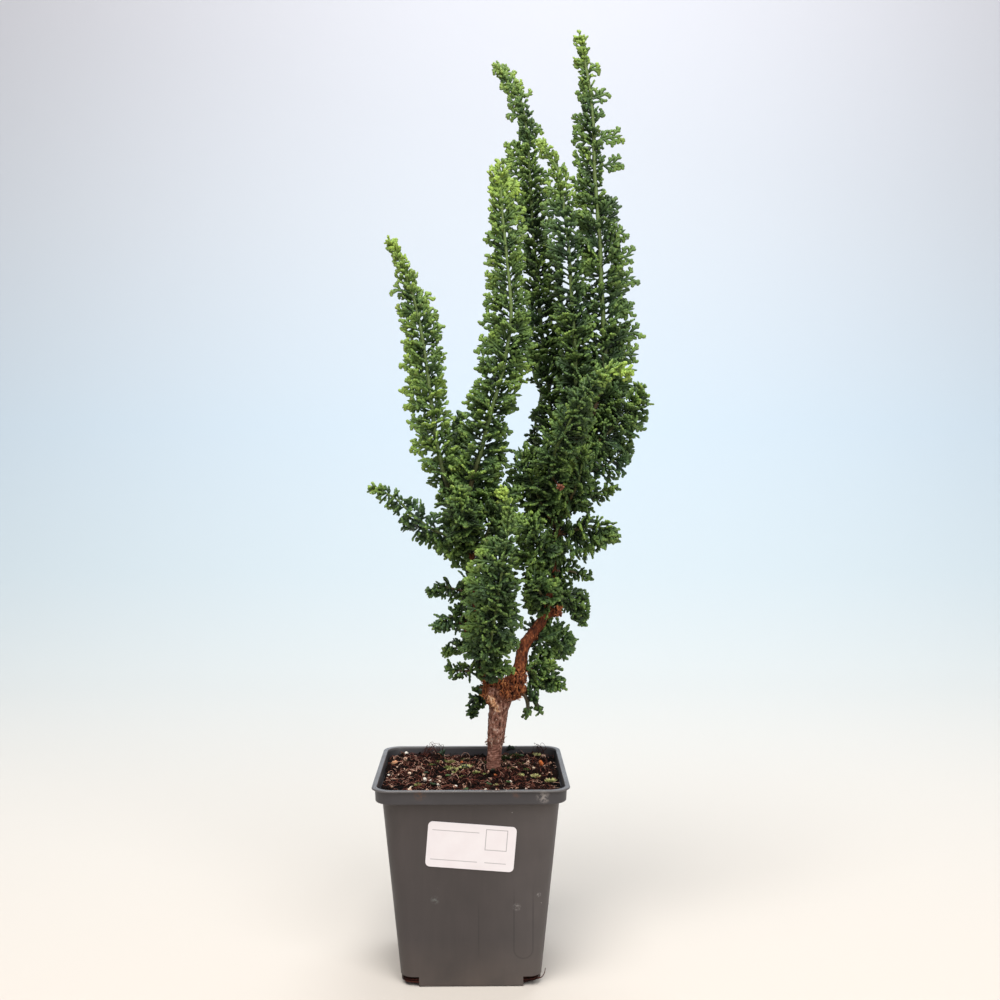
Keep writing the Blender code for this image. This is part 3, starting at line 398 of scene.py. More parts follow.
# The routes are those of the solids. A stray is one spray that stands out of its shoot's outline: how high
# it is, which way it goes round the stem in degrees from the viewer's right, and how long it is.
SHOOTS = [
    Shoot("leader_far_left", [(-4, 1, 254), (-14, -4, 281), (-20, -4, 304), (-23, -2, 327), (-26, 0, 350),
          (-30, 2, 374), (-35, 3, 394), (-40, 2, 408), (-47, 0, 422)],
          20, (11, 14, 6), tone=0.46, fresh=0.34, stem=1.5, parted=0.7,
          strays=((396, 180, 12), (385, 178, 13), (374, 180, 13), (363, 180, 13), (352, 180, 16),
                  (341, 180, 16), (330, 180, 16), (318, 180, 16), (306, 180, 16),
                  (294, 180, 13), (392, 0, 12), (383, 5, 13), (374, 0, 13))),
    Shoot("leader_left", [(-4, 1, 254), (-1, -4, 278), (5, -8, 298), (11, -10, 321), (17, -10, 342),
          (21, -10, 361), (23, -10, 381), (21, -10, 407), (18, -9, 436), (17, -8, 453), (16, -8, 462)],
          20, (18, 14.5, 9), tone=0.36, fresh=0.40, stem=1.3, parted=0.85,
          strays=((450, 180, 8), (436, 175, 9), (424, 180, 12), (412, 180, 13), (400, 175, 15),
                  (388, 180, 16), (376, 178, 18), (364, 182, 18), (352, 178, 16),
                  (340, 182, 16), (330, 178, 17), (290, 0, 18), (283, 0, 20), (276, -10, 20),
                  (268, -10, 18), (455, 0, 12), (440, 5, 14), (426, 0, 14), (372, 0, 14),
                  (364, 0, 16), (356, 0, 17), (348, 0, 17), (312, 0, 16), (304, 0, 18),
                  (298, 0, 20))),
    Shoot("leader_centre_back", [(56, 13, 277), (50, 22, 304), (47, 28, 335), (43, 30, 368), (40, 30, 401),
          (37, 29, 437), (35, 28, 470), (33, 27, 495), (29, 26, 512), (21, 26, 523), (15, 26, 531)],
          22, (14, 13, 5), crowding=1.35, tone=0.34, fresh=0.38, stem=1.4, parted=0.5,
          strays=((533, 60, 9), (529, 30, 10), (523, 20, 9), (520, 190, 9), (516, 0, 9), (511, 180, 10),
                  (505, 180, 12), (498, 15, 11), (486, 180, 14), (478, 180, 16), (470, 178, 18),
                  (462, 182, 18), (450, 180, 18), (470, 0, 14), (455, 5, 16), (440, 0, 16))),
    Shoot("leader_centre", [(63, 12, 298), (62, 6, 325), (61, 3, 354), (59, 3, 386), (57, 3, 418),
          (54, 3, 444), (51, 3, 463), (41, 3, 480)],
          20, (14, 13, 5), crowding=1.12, tone=0.32, fresh=0.46, stem=1.4, parted=0.5,
          strays=((455, 180, 12), (445, 175, 14), (433, 180, 15), (420, 182, 15))),
    Shoot("leader_tallest", [(63, 12, 298), (71, 12, 319), (77, 12, 343), (79, 12, 363), (77, 12, 396),
          (76, 12, 425), (73, 12, 463), (72, 12, 493), (69, 12, 519), (64, 12, 545)],
          46, (22, 15.5, 6), tone=0.33, fresh=0.30, stem=1.5, parted=0.75, right=0.45,
          strays=((527, 0, 9), (511, 0, 12), (500, 0, 8), (488, 0, 18), (473, -6, 17), (444, 0, 10),
                  (430, 0, 17), (418, -5, 21), (404, 0, 22), (388, 5, 20), (374, 0, 22),
                  (362, 0, 21), (344, 0, 22), (530, 180, 8), (512, 182, 9), (497, 180, 13),
                  (486, 176, 14), (474, 184, 14), (463, 178, 15), (452, 182, 15),
                  (440, 180, 16), (429, 176, 16))),
    Shoot("leader_back", [(57, 13, 280), (63, 26, 306), (61, 34, 344), (56, 37, 386), (52, 36, 423)],
          22, (13, 13, 5), tone=0.30),
    Shoot("arm_left", [(-3, 2, 243), (-12, -6, 250), (-24, -10, 256), (-34, -14, 264), (-43, -17, 273),
          (-56, -20, 280)], 8, (15, 12, 5), droop=0.55, fresh=0.3),
    Shoot("shoot_left_front", [(-3, 2, 246), (-4, -14, 255), (-5, -26, 266), (-6, -32, 275)],
          9, (15, 15, 9)),
    Shoot("shoot_front", [(4, 5, 186), (10, -10, 184), (12, -22, 197), (15, -31, 216), (18, -37, 239),
          (21, -41, 262), (17, -44, 279)], 10, (13, 12, 3.2), fresh=0.60, crowding=1.15,
          strays=((184, -5, 15), (190, 0, 18), (196, -10, 16), (202, 5, 16), (209, 0, 16), (216, -5, 15),
                  (224, 0, 14), (186, 190, 14), (193, 184, 16), (200, 190, 17), (207, 182, 18),
                  (214, 190, 19), (221, 184, 19), (228, 190, 20), (235, 184, 20),
                  (242, 190, 18), (249, 184, 16))),
    Shoot("tuft_above_fork", [(6, 7, 172), (11, -6, 173), (17, -14, 173)], 8, (8, 9, 6), droop=0.3,
          strays=((177, -15, 12), (173, -10, 10), (175, -30, 12), (171, 0, 9), (181, -10, 12),
                  (179, 180, 9))),
    Shoot("shoot_right_front", [(54, 13, 271), (48, -4, 282), (47, -17, 297), (54, -27, 313),
          (61, -35, 327), (70, -42, 339), (79, -46, 345), (86, -49, 343)], 12, (13, 14, 6), fresh=0.50),
    Shoot("tuft_centre", [(50, 14, 256), (41, 2, 270), (34, -4, 286), (29, -8, 300)],
          9, (13, 15, 10), fresh=0.0,
          strays=((288, 180, 15), (280, 180, 15), (273, 180, 15), (266, 180, 16), (262, 185, 17))),
    Shoot("shoot_right_upper", [(64, 12, 301), (76, 10, 307), (90, 6, 321), (99, 2, 335)],
          10, (15, 15, 9),
          strays=((326, 0, 15), (320, -8, 19), (314, -8, 20), (308, -10, 20), (302, -10, 18))),
    Shoot("shoot_right_middle", [(59, 12, 288), (74, 14, 289), (86, 15, 296), (93, 14, 304)],
          8, (13, 14, 7), droop=0.2),
    Shoot("shoot_right_lower", [(55, 13, 271), (66, 12, 272), (76, 10, 276), (83, 8, 279)],
          7, (12, 9.5, 6), droop=0.2),
    Shoot("arm_right", [(50, 14, 250), (62, 8, 254), (73, 2, 256), (83, -4, 253)],
          7, (18, 17, 8), droop=0.7,
          strays=((256, 60, 15), (255, -20, 14), (255, -60, 12), (254, -100, 11))),
    Shoot("twig_right_upper", [(48, 15, 228), (57, 16, 229), (64, 17, 227), (70, 18, 225)],
          5, (11, 8, 4), droop=0.2,
          strays=((232, -60, 11), (231, -100, 10), (234, 30, 11))),
    Shoot("twig_right_middle", [(45, 15, 211), (55, 22, 214), (63, 27, 209), (67, 29, 197)],
          6, (12, 11, 6), crowding=1.2, droop=0.2,
          strays=((208, -20, 9), (212, 10, 10), (204, -40, 9))),
    Shoot("twig_right_lower", [(36, 13, 190), (44, 20, 187), (53, 25, 185), (60, 28, 180)],
          6, (18, 15, 5), crowding=1.5,
          strays=((196, 10, 12), (192, -10, 11), (188, -30, 11))),
    Shoot("tuft_inside_fork", [(45, 14, 209), (41, 2, 216), (36, -6, 225)], 6, (12, 14, 10),
          strays=((212, 180, 15), (207, 190, 13), (203, 175, 12))),
    Shoot("tuft_inside_fork_upper", [(48, 15, 229), (41, 9, 229), (34, 3, 233), (30, -2, 241)],
          6, (12, 14, 10)),
    Shoot("tuft_right_front", [(54, 13, 267), (59, 2, 274), (63, -6, 286), (65, -10, 300)],
          7, (12, 13, 8),
          strays=((266, -20, 12), (270, 20, 12))),
    Shoot("twig_low_right", [(29, 12, 170), (38, 14, 169), (46, 14, 165), (53, 12, 160)],
          7, (17, 13, 5), crowding=1.4, droop=0.2,
          strays=((175, -20, 9), (176, 30, 9), (171, -30, 9))),
    Shoot("twig_hanging_right", [(26, 13, 159), (34, 13, 156), (38, 13, 150), (41, 13, 145)],
          6, (4, 3.2, 3.2), crowding=0.9, bare=0.84, tone=0.13, fresh=0.25, stem=2.2),
    Shoot("twig_hanging_left", [(26, 8, 158), (32, 7, 155), (33.5, 7, 149), (33, 7, 144)],
          5, (4.5, 3.5, 3.5), bare=0.78, tone=0.13, fresh=0.25, stem=2.0,
          strays=((157, -60, 9), (155, -40, 9), (158, -20, 9))),
    Shoot("twig_left_1", [(2, 4, 217), (-9, 2, 219), (-17, 0, 221), (-24, -2, 218)],
          5, (8, 9, 4), crowding=1.4, droop=0.5),
    Shoot("twig_left_2", [(3, 5, 204), (-7, 4, 204), (-14, 0, 202), (-21, -4, 198)],
          5, (11, 10, 4), crowding=1.4, droop=0.45),
    Shoot("twig_left_3", [(4, 5, 186), (-4, 6, 184), (-10, 5, 184), (-15, 4, 182)],
          5, (9, 8, 4), crowding=1.4),
    Shoot("twig_left_4", [(7, 8, 172), (-1, 8, 170), (-7, 8, 170), (-13, 8, 171)],
          5, (6, 8, 5), droop=0.2),
    Shoot("twig_low_left", [(11, 15, 158), (5, 20, 153), (1, 23, 148), (0, 23, 141)],
          7, (8, 8, 4), crowding=1.6, tone=0.26, fresh=0.1),
    Shoot("shoot_left_back", [(-4, 1, 254), (-6, 11, 271), (-7, 15, 292), (-6, 17, 312)],
          20, (13, 13, 7)),
    Shoot("shoot_middle", [(-1, 2, 236), (6, -3, 246), (12, -7, 260), (17, -8, 276)],
          7, (13, 16, 11), tone=0.24, fresh=0.0,
          strays=((284, 0, 13), (277, -10, 14), (270, 0, 14), (263, -10, 14))),
    Shoot("tuft_middle_right", [(49, 15, 236), (43, 4, 240), (38, -6, 248), (34, -12, 256)],
          6, (12, 15, 11),
          strays=((252, 180, 14), (262, 175, 16), (270, 180, 16), (278, 180, 14))),
    Shoot("back_shoot_left_upper", [(-2, 2, 242), (-4, 16, 254), (-8, 30, 274), (-10, 38, 298),
          (-8, 42, 322)], 8, (12, 13, 6)),
    Shoot("back_shoot_middle", [(52, 14, 258), (46, 28, 270), (40, 42, 288), (39, 48, 312), (43, 50, 336)],
          8, (12, 10, 5)),
    Shoot("back_shoot_right_upper", [(61, 12, 293), (72, 24, 308), (82, 34, 328), (85, 38, 352),
          (82, 40, 376)], 8, (11, 12, 6)),
    Shoot("back_shoot_left_lower", [(5, 6, 180), (2, 20, 188), (0, 32, 200), (-2, 40, 216), (-2, 44, 232)],
          7, (9, 11, 6)),
    Shoot("back_shoot_right_lower", [(45, 14, 207), (49, 28, 216), (52, 38, 228), (52, 44, 244),
          (50, 46, 262)], 7, (9, 11, 6),
          strays=((209, 150, 18), (213, 165, 18), (217, 155, 17), (205, 170, 14))),
    Shoot("back_shoot_centre", [(3, 5, 200), (8, 18, 208), (12, 29, 222), (15, 36, 240), (16, 38, 260)],
          6, (9, 11, 6),
          strays=((204, 10, 18), (211, 0, 19), (219, 0, 18), (227, 0, 17), (235, 0, 15))),
]


# Meshes


def linked(name, data):
    """A new object for a mesh, a lamp or a camera, in the scene."""
    made = bpy.data.objects.new(name, data)
    bpy.context.scene.collection.objects.link(made)
    return made


def mesh_piece(name, points, triangles, look, values=None, smooth=True):
    """A piece from arrays: points in millimetres, triangles, and a number for each point under each name."""
    points = np.asarray(points, dtype=np.float32) * MM
    triangles = np.asarray(triangles, dtype=np.int32)
    mesh = bpy.data.meshes.new(name)
    mesh.vertices.add(len(points))
    mesh.vertices.foreach_set("co", points.ravel())
    mesh.loops.add(triangles.size)
    mesh.loops.foreach_set("vertex_index", triangles.ravel())
    mesh.polygons.add(len(triangles))
    mesh.polygons.foreach_set("loop_start", np.arange(0, triangles.size, 3, dtype=np.int32))
    mesh.update(calc_edges=True)
    for value_name, numbers in (values or {}).items():
        attribute = mesh.attributes.new(value_name, "FLOAT", "POINT")
        attribute.data.foreach_set("value", np.asarray(numbers, dtype=np.float32))
    if smooth:
        mesh.shade_smooth()
    else:
        mesh.shade_flat()
    mesh.materials.append(look)
    piece = linked(name, mesh)
    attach(piece, "root")
    return piece


def scratch_object(name, points, faces):
    mesh = bpy.data.meshes.new(name)
    mesh.from_pydata([tuple(point) for point in points], [], faces)
    return linked(name, mesh)


def evaluated_mesh(made):
    """An object's mesh as its modifiers leave it."""
    bpy.context.view_layer.update()
    evaluated = made.evaluated_get(bpy.context.evaluated_depsgraph_get())
    return bpy.data.meshes.new_from_object(evaluated)


def joined(parts):
    """Several (points, triangles, values) as one."""
    offsets = np.cumsum([0] + [len(points) for points, _, _ in parts])
    points = np.concatenate([points for points, _, _ in parts])
    triangles = np.concatenate([triangles + offset for (_, triangles, _), offset in zip(parts, offsets)])
    names = parts[0][2].keys()
    values = {name: np.concatenate([part_values[name] for _, _, part_values in parts]) for name in names}
    return points, triangles, values


def shaded(solid, shade):
    """A solid with one shade all over, as (points, triangles, values)."""
    points, triangles = solid
    return points, triangles, {"shade": np.full(len(points), shade)}


def ring_triangles(rings, sides):
    """The triangles of a skin over rings of points, numbered from 0, without its ends."""
    level = np.arange(rings - 1)[:, None] * sides
    here = np.arange(sides)
    after = (here + 1) % sides
    low, low_after = level + here, level + after
    high, high_after = low + sides, low_after + sides
    first = np.stack([low, low_after, high_after], axis=-1)
    second = np.stack([low, high_after, high], axis=-1)
    return np.concatenate([first, second]).reshape(-1, 3)


def closed_triangles(rings, sides):
    """The triangles of a skin over rings, closed by two more points: one at its foot, then one at its tip."""
    foot = rings * sides
    last = foot - sides
    caps = [(foot, (index + 1) % sides, index) for index in range(sides)]
    caps += [(foot + 1, last + index, last + (index + 1) % sides) for index in range(sides)]
    return np.concatenate([ring_triangles(rings, sides), caps])


def ball(subdivisions):
    """The points and triangles of a ball one unit in radius."""
    bm = bmesh.new()
    bmesh.ops.create_icosphere(bm, subdivisions=subdivisions, radius=1.0)
    points = np.array([vertex.co[:] for vertex in bm.verts])
    triangles = np.array([[vertex.index for vertex in face.verts] for face in bm.faces])
    bm.free()
    return points, triangles


# Curves


def smooth_curve(route, spacing):
    """Points at about even spacing along a smooth curve through the route's own points, and its length."""
    ends = [2 * Vector(route[0]) - Vector(route[1])] + [Vector(point) for point in route]
    ends.append(2 * Vector(route[-1]) - Vector(route[-2]))
    fine = []
    for index in range(1, len(ends) - 2):
        before, start, end, after = ends[index - 1 : index + 3]
        for step in range(CURVE_PARTS):
            t = step / CURVE_PARTS
            fine.append(0.5 * (2 * start + (end - before) * t
                               + (2 * before - 5 * start + 4 * end - after) * t**2
                               + (3 * start - before - 3 * end + after) * t**3))
    fine.append(ends[-2])
    lengths = [0.0]
    for start, end in zip(fine, fine[1:]):
        lengths.append(lengths[-1] + (end - start).length)
    count = max(2, round(lengths[-1] / spacing))
    points = []
    cursor = 0
    for index in range(count + 1):
        wanted = lengths[-1] * index / count
        while cursor < len(fine) - 2 and lengths[cursor + 1] < wanted:
            cursor += 1
        share = (wanted - lengths[cursor]) / (lengths[cursor + 1] - lengths[cursor])
        points.append(fine[cursor].lerp(fine[cursor + 1], share))
    return points, lengths[-1]


def frames_along(points):
    """(tangent, side, other side) at each point, turning as little as possible along the curve."""
    frames = []
    side = None
    for index in range(len(points)):
        tangent = (points[min(len(points) - 1, index + 1)] - points[max(0, index - 1)]).normalized()
        if side is None:
            side = tangent.orthogonal()
        side = (side - tangent * side.dot(tangent)).normalized()
        frames.append((tangent, side, tangent.cross(side)))
    return frames


def three_way(values, share):
    """A value that runs through a start, a middle and an end."""
    if share < 0.5:
        return values[0] + (values[1] - values[0]) * share * 2
    return values[1] + (values[2] - values[1]) * (share * 2 - 1)


def flat_way(angle):
    """The flat direction at an angle from +X."""
    return math.cos(angle), math.sin(angle)


def tube(points, radii, sides):
    """A tube along points, closed by a point at each end, as (points, triangles)."""
    rings = []
    for point, (_, side, other), radius in zip(points, frames_along(points), radii):
        rings += [point + radius * (side * math.cos(turn) + other * math.sin(turn))
                  for turn in (math.tau * index / sides for index in range(sides))]
    return np.array([*rings, points[0], points[-1]]), closed_triangles(len(points), sides)


# Shader nodes


class Look:
    """A material under construction: each call adds a node, and takes numbers, colours or other outputs."""

    def __init__(self, name):
        self.made = bpy.data.materials.new(name)
        self.made.use_nodes = True
        self.tree = self.made.node_tree
        self.shader = self.tree.nodes["Principled BSDF"]

    def set(self, node, socket, value):
        if isinstance(value, bpy.types.NodeSocket):
            self.tree.links.new(value, node.inputs[socket])
        elif isinstance(value, tuple) and len(value) == 3 and node.inputs[socket].type == "RGBA":
            node.inputs[socket].default_value = (*value, 1.0)
        else:
            node.inputs[socket].default_value = value

    def surface(self, **values):
        """Sets the shader's own sockets, whose names are given with _ for a space."""
        for socket, value in values.items():
            self.set(self.shader, socket.replace("_", " "), value)

    def node(self, kind, inputs=None, **settings):
        made = self.tree.nodes.new(kind)
        for setting, value in settings.items():
            setattr(made, setting, value)
        for socket, value in (inputs or {}).items():
            self.set(made, socket, value)
        return made

    def place(self):
        return self.node("ShaderNodeTexCoord").outputs["Object"]

    def axes(self, place):
        """A place's X, Y and Z, each by its name."""
        return self.node("ShaderNodeSeparateXYZ", {"Vector": place}).outputs

    def stretched(self, place, scale):
        return self.node("ShaderNodeMapping", {"Vector": place, "Scale": scale}).outputs[0]

    def value(self, name):
        return self.node("ShaderNodeAttribute", attribute_name=name).outputs["Fac"]

    def noise(self, place, across, detail=3.0, roughness=0.5):
        """Cloudy noise from 0 to 1, whose lumps are so many millimetres across."""
        inputs = {"Vector": place, "Scale": 1.0 / (across * MM), "Detail": detail, "Roughness": roughness}
        return self.node("ShaderNodeTexNoise", inputs).outputs["Fac"]

    def cells(self, place, across):
        """How far the middle of the nearest of many scattered cells lies, in cells."""
        inputs = {"Vector": place, "Scale": 1.0 / (across * MM)}
        return self.node("ShaderNodeTexVoronoi", inputs).outputs["Distance"]

    def number(self, operation, first, second=0.0, third=0.0):
        return self.node("ShaderNodeMath", {0: first, 1: second, 2: third}, operation=operation).outputs[0]

    def times(self, first, second):
        return self.number("MULTIPLY", first, second)

    def plus(self, first, second):
        return self.number("ADD", first, second)

    def minus(self, first, second):
        return self.number("SUBTRACT", first, second)

    def span(self, number, low, high, to_low=0.0, to_high=1.0):
        """A number from one span stretched over another, and held inside it."""
        inputs = {"Value": number, "From Min": low, "From Max": high, "To Min": to_low, "To Max": to_high}
        return self.node("ShaderNodeMapRange", inputs).outputs[0]

    def ramp(self, number, stops):
        made = self.node("ShaderNodeValToRGB", {"Fac": number})
        elements = made.color_ramp.elements
        while len(elements) < len(stops):
            elements.new(0.5)
        for element, (at, colour) in zip(elements, stops):
            element.position = at
            element.color = (*colour, 1.0)
        return made.outputs["Color"]

    def mix(self, share, first, second, blend="MIX"):
        made = self.node("ShaderNodeMix", data_type="RGBA", blend_type=blend)
        self.set(made, 0, share)
        self.set(made, 6, first)
        self.set(made, 7, second)
        return made.outputs[2]

    def darkened(self, colour, light):
        """A colour times a number that runs from 0 for black to 1 for the colour itself."""
        return self.mix(1.0, colour, self.ramp(light, [(0.0, (0, 0, 0)), (1.0, (1, 1, 1))]), "MULTIPLY")

    def bump(self, height, depth, strength=1.0):
        """Relief so many millimetres deep, on the shader's normal."""
        inputs = {"Height": height, "Distance": depth * MM, "Strength": strength}
        self.set(self.shader, "Normal", self.node("ShaderNodeBump", inputs).outputs[0])


# Foliage


class Branchlets:
    """Blunt, flattened, scale-leaved branchlets, gathered one by one and turned into one mesh at the end."""

    def __init__(self):
        self.rows = []

    def add(self, foot, along, normal, length, half_width, bend, tone):
        if not in_sky_gap(foot + along * length * GAP_TEST_AT):
            self.rows.append((*foot, *along, *normal, *bend, length, half_width, tone))

    def mesh(self):
        rows = np.array(self.rows)
        short = rows[:, 12] < SHORT_BELOW
        return joined([self.skins(rows[~short], LONG_RINGS), self.skins(rows[short], SHORT_RINGS)])

    def skins(self, rows, shape):
        """Points, triangles and values of branchlets whose rings lie and widen as the shape says."""
        ring_at, ring_width = shape[:, 0], shape[:, 1]
        foot, along, normal, bend = (rows[:, None, None, first : first + 3] for first in (0, 3, 6, 9))
        length, half_width, tone = (rows[:, None, None, column] for column in (12, 13, 14))
        across = np.cross(along, normal)
        turn = np.arange(BRANCHLET_SIDES) * math.tau / BRANCHLET_SIDES
        at = ring_at[None, :, None]
        width = half_width * ring_width[None, :, None]
        wobble = 1.0 + BRANCHLET_WOBBLE * np.sin(rows[:, None, None, 0] * 7.0 + at * 19.0 + turn * 2.0)
        middle = foot + along * (length * at)[..., None] + bend * (at**2)[..., None]
        rings = (middle + across * (width * wobble * np.cos(turn))[..., None]
                 + normal * (width * wobble * BRANCHLET_FLATNESS * np.sin(turn))[..., None])
        count = len(rows)
        tips = (foot + along * length[..., None] + bend).reshape(count, 1, 3)
        skin = rings.reshape(count, len(shape) * BRANCHLET_SIDES, 3)
        points = np.concatenate([skin, foot.reshape(count, 1, 3), tips], axis=1)
        per_branchlet = points.shape[1]
        offsets = (np.arange(count) * per_branchlet)[:, None, None]
        triangles = closed_triangles(len(shape), BRANCHLET_SIDES)[None] + offsets
        every = (count, len(shape), BRANCHLET_SIDES)
        along_mm = np.broadcast_to(length * at, every).reshape(count, per_branchlet - 2)
        edge = np.broadcast_to(np.cos(turn)[None, None, :], every).reshape(count, per_branchlet - 2)
        ends = np.zeros((count, 1))
        # Each branchlet turns lighter from its foot to its tip: partly fresher growth, partly painted shade
        # at its foot
        fresh = np.array([*np.repeat(ring_at, BRANCHLET_SIDES), 0, 1]) * TIP_FRESHNESS_AND_FOOT_SHADE
        values = {
            "tone": np.repeat(tone.reshape(-1), per_branchlet) + np.tile(fresh, count),
            "along": np.concatenate([along_mm, ends, length.reshape(count, 1)], axis=1).ravel(),
            "edge": np.concatenate([edge, ends, ends], axis=1).ravel(),
            "woody": np.zeros(count * per_branchlet),
        }
        return points.reshape(-1, 3), triangles.reshape(-1, 3), values


def in_sky_gap(point):
    """Whether a point stands in one of the gaps that the camera sees through."""
    nearer = -CAMERA_AT[1] / (point.y - CAMERA_AT[1])
    across = CAMERA_AT[0] + (point.x - CAMERA_AT[0]) * nearer
    height = CAMERA_AT[2] + (point.z - CAMERA_AT[2]) * nearer
    return any(math.hypot((across - x) / half_width, (height - z) / half_height) < 1.0
               for x, z, half_width, half_height in SKY_GAPS)


def grow_spray(branchlets, draw, foot, out, normal, length, sag, tone):
    """A flat spray: a leafy midrib with branchlets on both sides, and the longer ones forked."""
    across = out.cross(normal)
    bend = UP * length * draw.uniform(-0.06, 0.12) - UP * length * sag
    bend += across * length * draw.uniform(-0.1, 0.1)
    branchlets.add(foot, out, normal, length, BRANCHLET_HALF_WIDTH * MIDRIB_WIDTH, bend, tone - MIDRIB_DARKER)
    count = max(2, round(0.8 * length / BRANCHLET_SPACING))
    for index in range(count):
        share = 0.20 + 0.68 * (index + draw.uniform(-0.25, 0.25)) / count
        way = (out * length + bend * 2 * share).normalized()
        start = foot + out * length * share + bend * share**2
        side = across * (1 if index % 2 else -1)
        spread = math.radians(SPREAD_AT_FOOT - SPREAD_LOST * share + draw.uniform(-10, 10))
        tilt = normal * draw.uniform(-0.28, 0.28)
        along = (way * math.cos(spread) + side * math.sin(spread) + tilt - UP * sag * 0.5).normalized()
        reach = length * (SIDE_REACH - SIDE_REACH_LOST * share) * draw.uniform(0.8, 1.15)
        reach = min(LONGEST_BRANCHLET, max(SHORTEST_BRANCHLET, reach))
        # Branchlets near the spray's foot, deeper in the crown, are darker: partly older growth, partly
        # painted shade
        shade = DEPTH_AGE_AND_SHADE * (share - 0.6) + draw.uniform(-0.06, 0.08)
        grow_branchlet(branchlets, draw, start, along, way, normal, reach, tone + shade)


def grow_branchlet(branchlets, draw, foot, along, toward, normal, length, tone):
    """One side branchlet, which turns a little towards the spray's tip, with short lobes down both sides."""
    flat_normal = (normal - along * normal.dot(along)).normalized()
    bend = toward * length * draw.uniform(0.05, 0.20)
    width = BRANCHLET_HALF_WIDTH * draw.uniform(0.88, 1.12)
    branchlets.add(foot, along, flat_normal, length, width, bend, tone)
    across = along.cross(flat_normal) * draw.choice((-1, 1))
    count = round((length - LOBELESS_LENGTH) / LOBE_SPACING)
    for index in range(count):
        share = 0.30 + 0.55 * (index + draw.uniform(0.0, 0.4)) / count
        side = across * (1 if index % 2 else -1)
        way = (along * 0.78 + side * 0.64 + flat_normal * draw.uniform(-0.2, 0.2)).normalized()
        start = foot + along * length * share + bend * share**2
        lobe_normal = (flat_normal - way * flat_normal.dot(way)).normalized()
        reach = LOBE_LENGTH * (1.15 - 0.45 * share) * draw.uniform(0.8, 1.2)
        branchlets.add(start, way, lobe_normal, reach, width * LOBE_WIDTH, Vector(),
                       tone + draw.uniform(0.0, 0.08))


def tone_at(shoot, share):
    """A shoot's green so far along it: its own up to the middle, and fresher towards the tip."""
    tip = max(0.0, (share - 0.5) / 0.5)
    return shoot.tone + shoot.fresh * tip**FRESHNESS_POWER


def spur_radius(shoot):
    """The radius of a shoot's brown foot, which is thicker where the sprays reach further."""
    return SPUR_THINNEST + SPUR_PER_REACH * sum(shoot.reach)


def spray_frame(tangent, radial, lean, roll, sag):
    """The way that a spray grows from its stem, and the way that its flat side faces."""
    out = (radial * math.cos(lean) + tangent * math.sin(lean) - UP * sag).normalized()
    flat = (tangent - out * tangent.dot(out)).normalized()
    return out, Matrix.Rotation(roll, 3, out) @ flat


def grow_shoot(shoot, look):
    """A leafy shoot: its stem, sprays all round it, and the strays that stand out of it."""
    draw = random.Random(shoot.name)
    points, length = smooth_curve(shoot.route, SHOOT_STEP)
    frames = frames_along(points)
    first = max(shoot.wood * LEAVES_FROM, shoot.bare * length)
    branchlets = Branchlets()
    count = round((length - first) / SPRAY_SPACING * shoot.crowding)
    for index in range(count):
        share = (first + (length - first) * (index + draw.uniform(-0.4, 0.4)) / count) / length
        share = min(0.985, max(0.0, share))
        at = round(share * (len(points) - 1))
        tangent, side, other = frames[at]
        turn = index * GOLDEN_ANGLE + draw.uniform(-0.4, 0.4)
        radial = side * math.cos(turn) + other * math.sin(turn)
        if radial.y < 0:
            aside = shoot.parted * min(1.0, share / PARTED_FROM) ** 2
            radial = Vector((radial.x, radial.y * (1 - aside), radial.z)).normalized()
        lean = math.radians(LEAN_AT_FOOT + LEAN_GAINED * share**2 + draw.uniform(-14, 14))
        out, normal = spray_frame(tangent, radial, lean, draw.uniform(-1.3, 1.3), shoot.droop * 0.8)
        reach = three_way(shoot.reach, share) * draw.uniform(0.80, 1.04)
        if radial.x > 0 and share > RIGHT_FROM:
            reach *= 1 - (1 - shoot.right) * radial.x
        grow_spray(branchlets, draw, points[at], out, normal, reach, shoot.droop * 0.25,
                   tone_at(shoot, share) + draw.uniform(-0.09, 0.09))
    for height, turn, reach in shoot.strays:
        grow_stray(branchlets, draw, shoot, points, height, math.radians(turn), reach)
    grow_tip(branchlets, draw, shoot, points, frames)
    stem = make_stem(shoot, points, length)
    points, triangles, values = joined([branchlets.mesh(), stem])
    piece = mesh_piece(f"{shoot.name}_sprays", points, triangles, look, values)
    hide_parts(shoot.name)


def grow_stray(branchlets, draw, shoot, points, height, turn, reach):
    """One long spray whose middle is at about a set height, which shows past the rest of its shoot."""
    foot = min(points, key=lambda point: abs(point.z - height + reach * 0.3))
    radial = Vector((*flat_way(turn), 0))
    out, normal = spray_frame(UP, radial, math.radians(draw.uniform(8, 26)), STRAY_ROLL, 0.0)
    share = points.index(foot) / len(points)
    grow_spray(branchlets, draw, foot, out, normal, reach, STRAY_SAG, tone_at(shoot, share) + STRAY_FRESHER)


def grow_tip(branchlets, draw, shoot, points, frames):
    """The cluster of short branchlets that ends a shoot, the first of them straight on."""
    tangent, side, other = frames[-1]
    reach = max(4.0, shoot.reach[2] * 0.9)
    tone = shoot.tone + shoot.fresh
    for index in range(TIP_BRANCHLETS):
        turn = index * GOLDEN_ANGLE
        radial = side * math.cos(turn) + other * math.sin(turn)
        lean = math.radians(88 if index == 0 else draw.uniform(30, 60))
        out, normal = spray_frame(tangent, radial, lean, draw.uniform(-1.0, 1.0), shoot.droop * 0.4)
        foot = points[-1] - tangent * (reach * 0.25 * index + 1.0)
        grow_branchlet(branchlets, draw, foot, out, tangent, normal, max(3.8, reach * 0.8), tone)


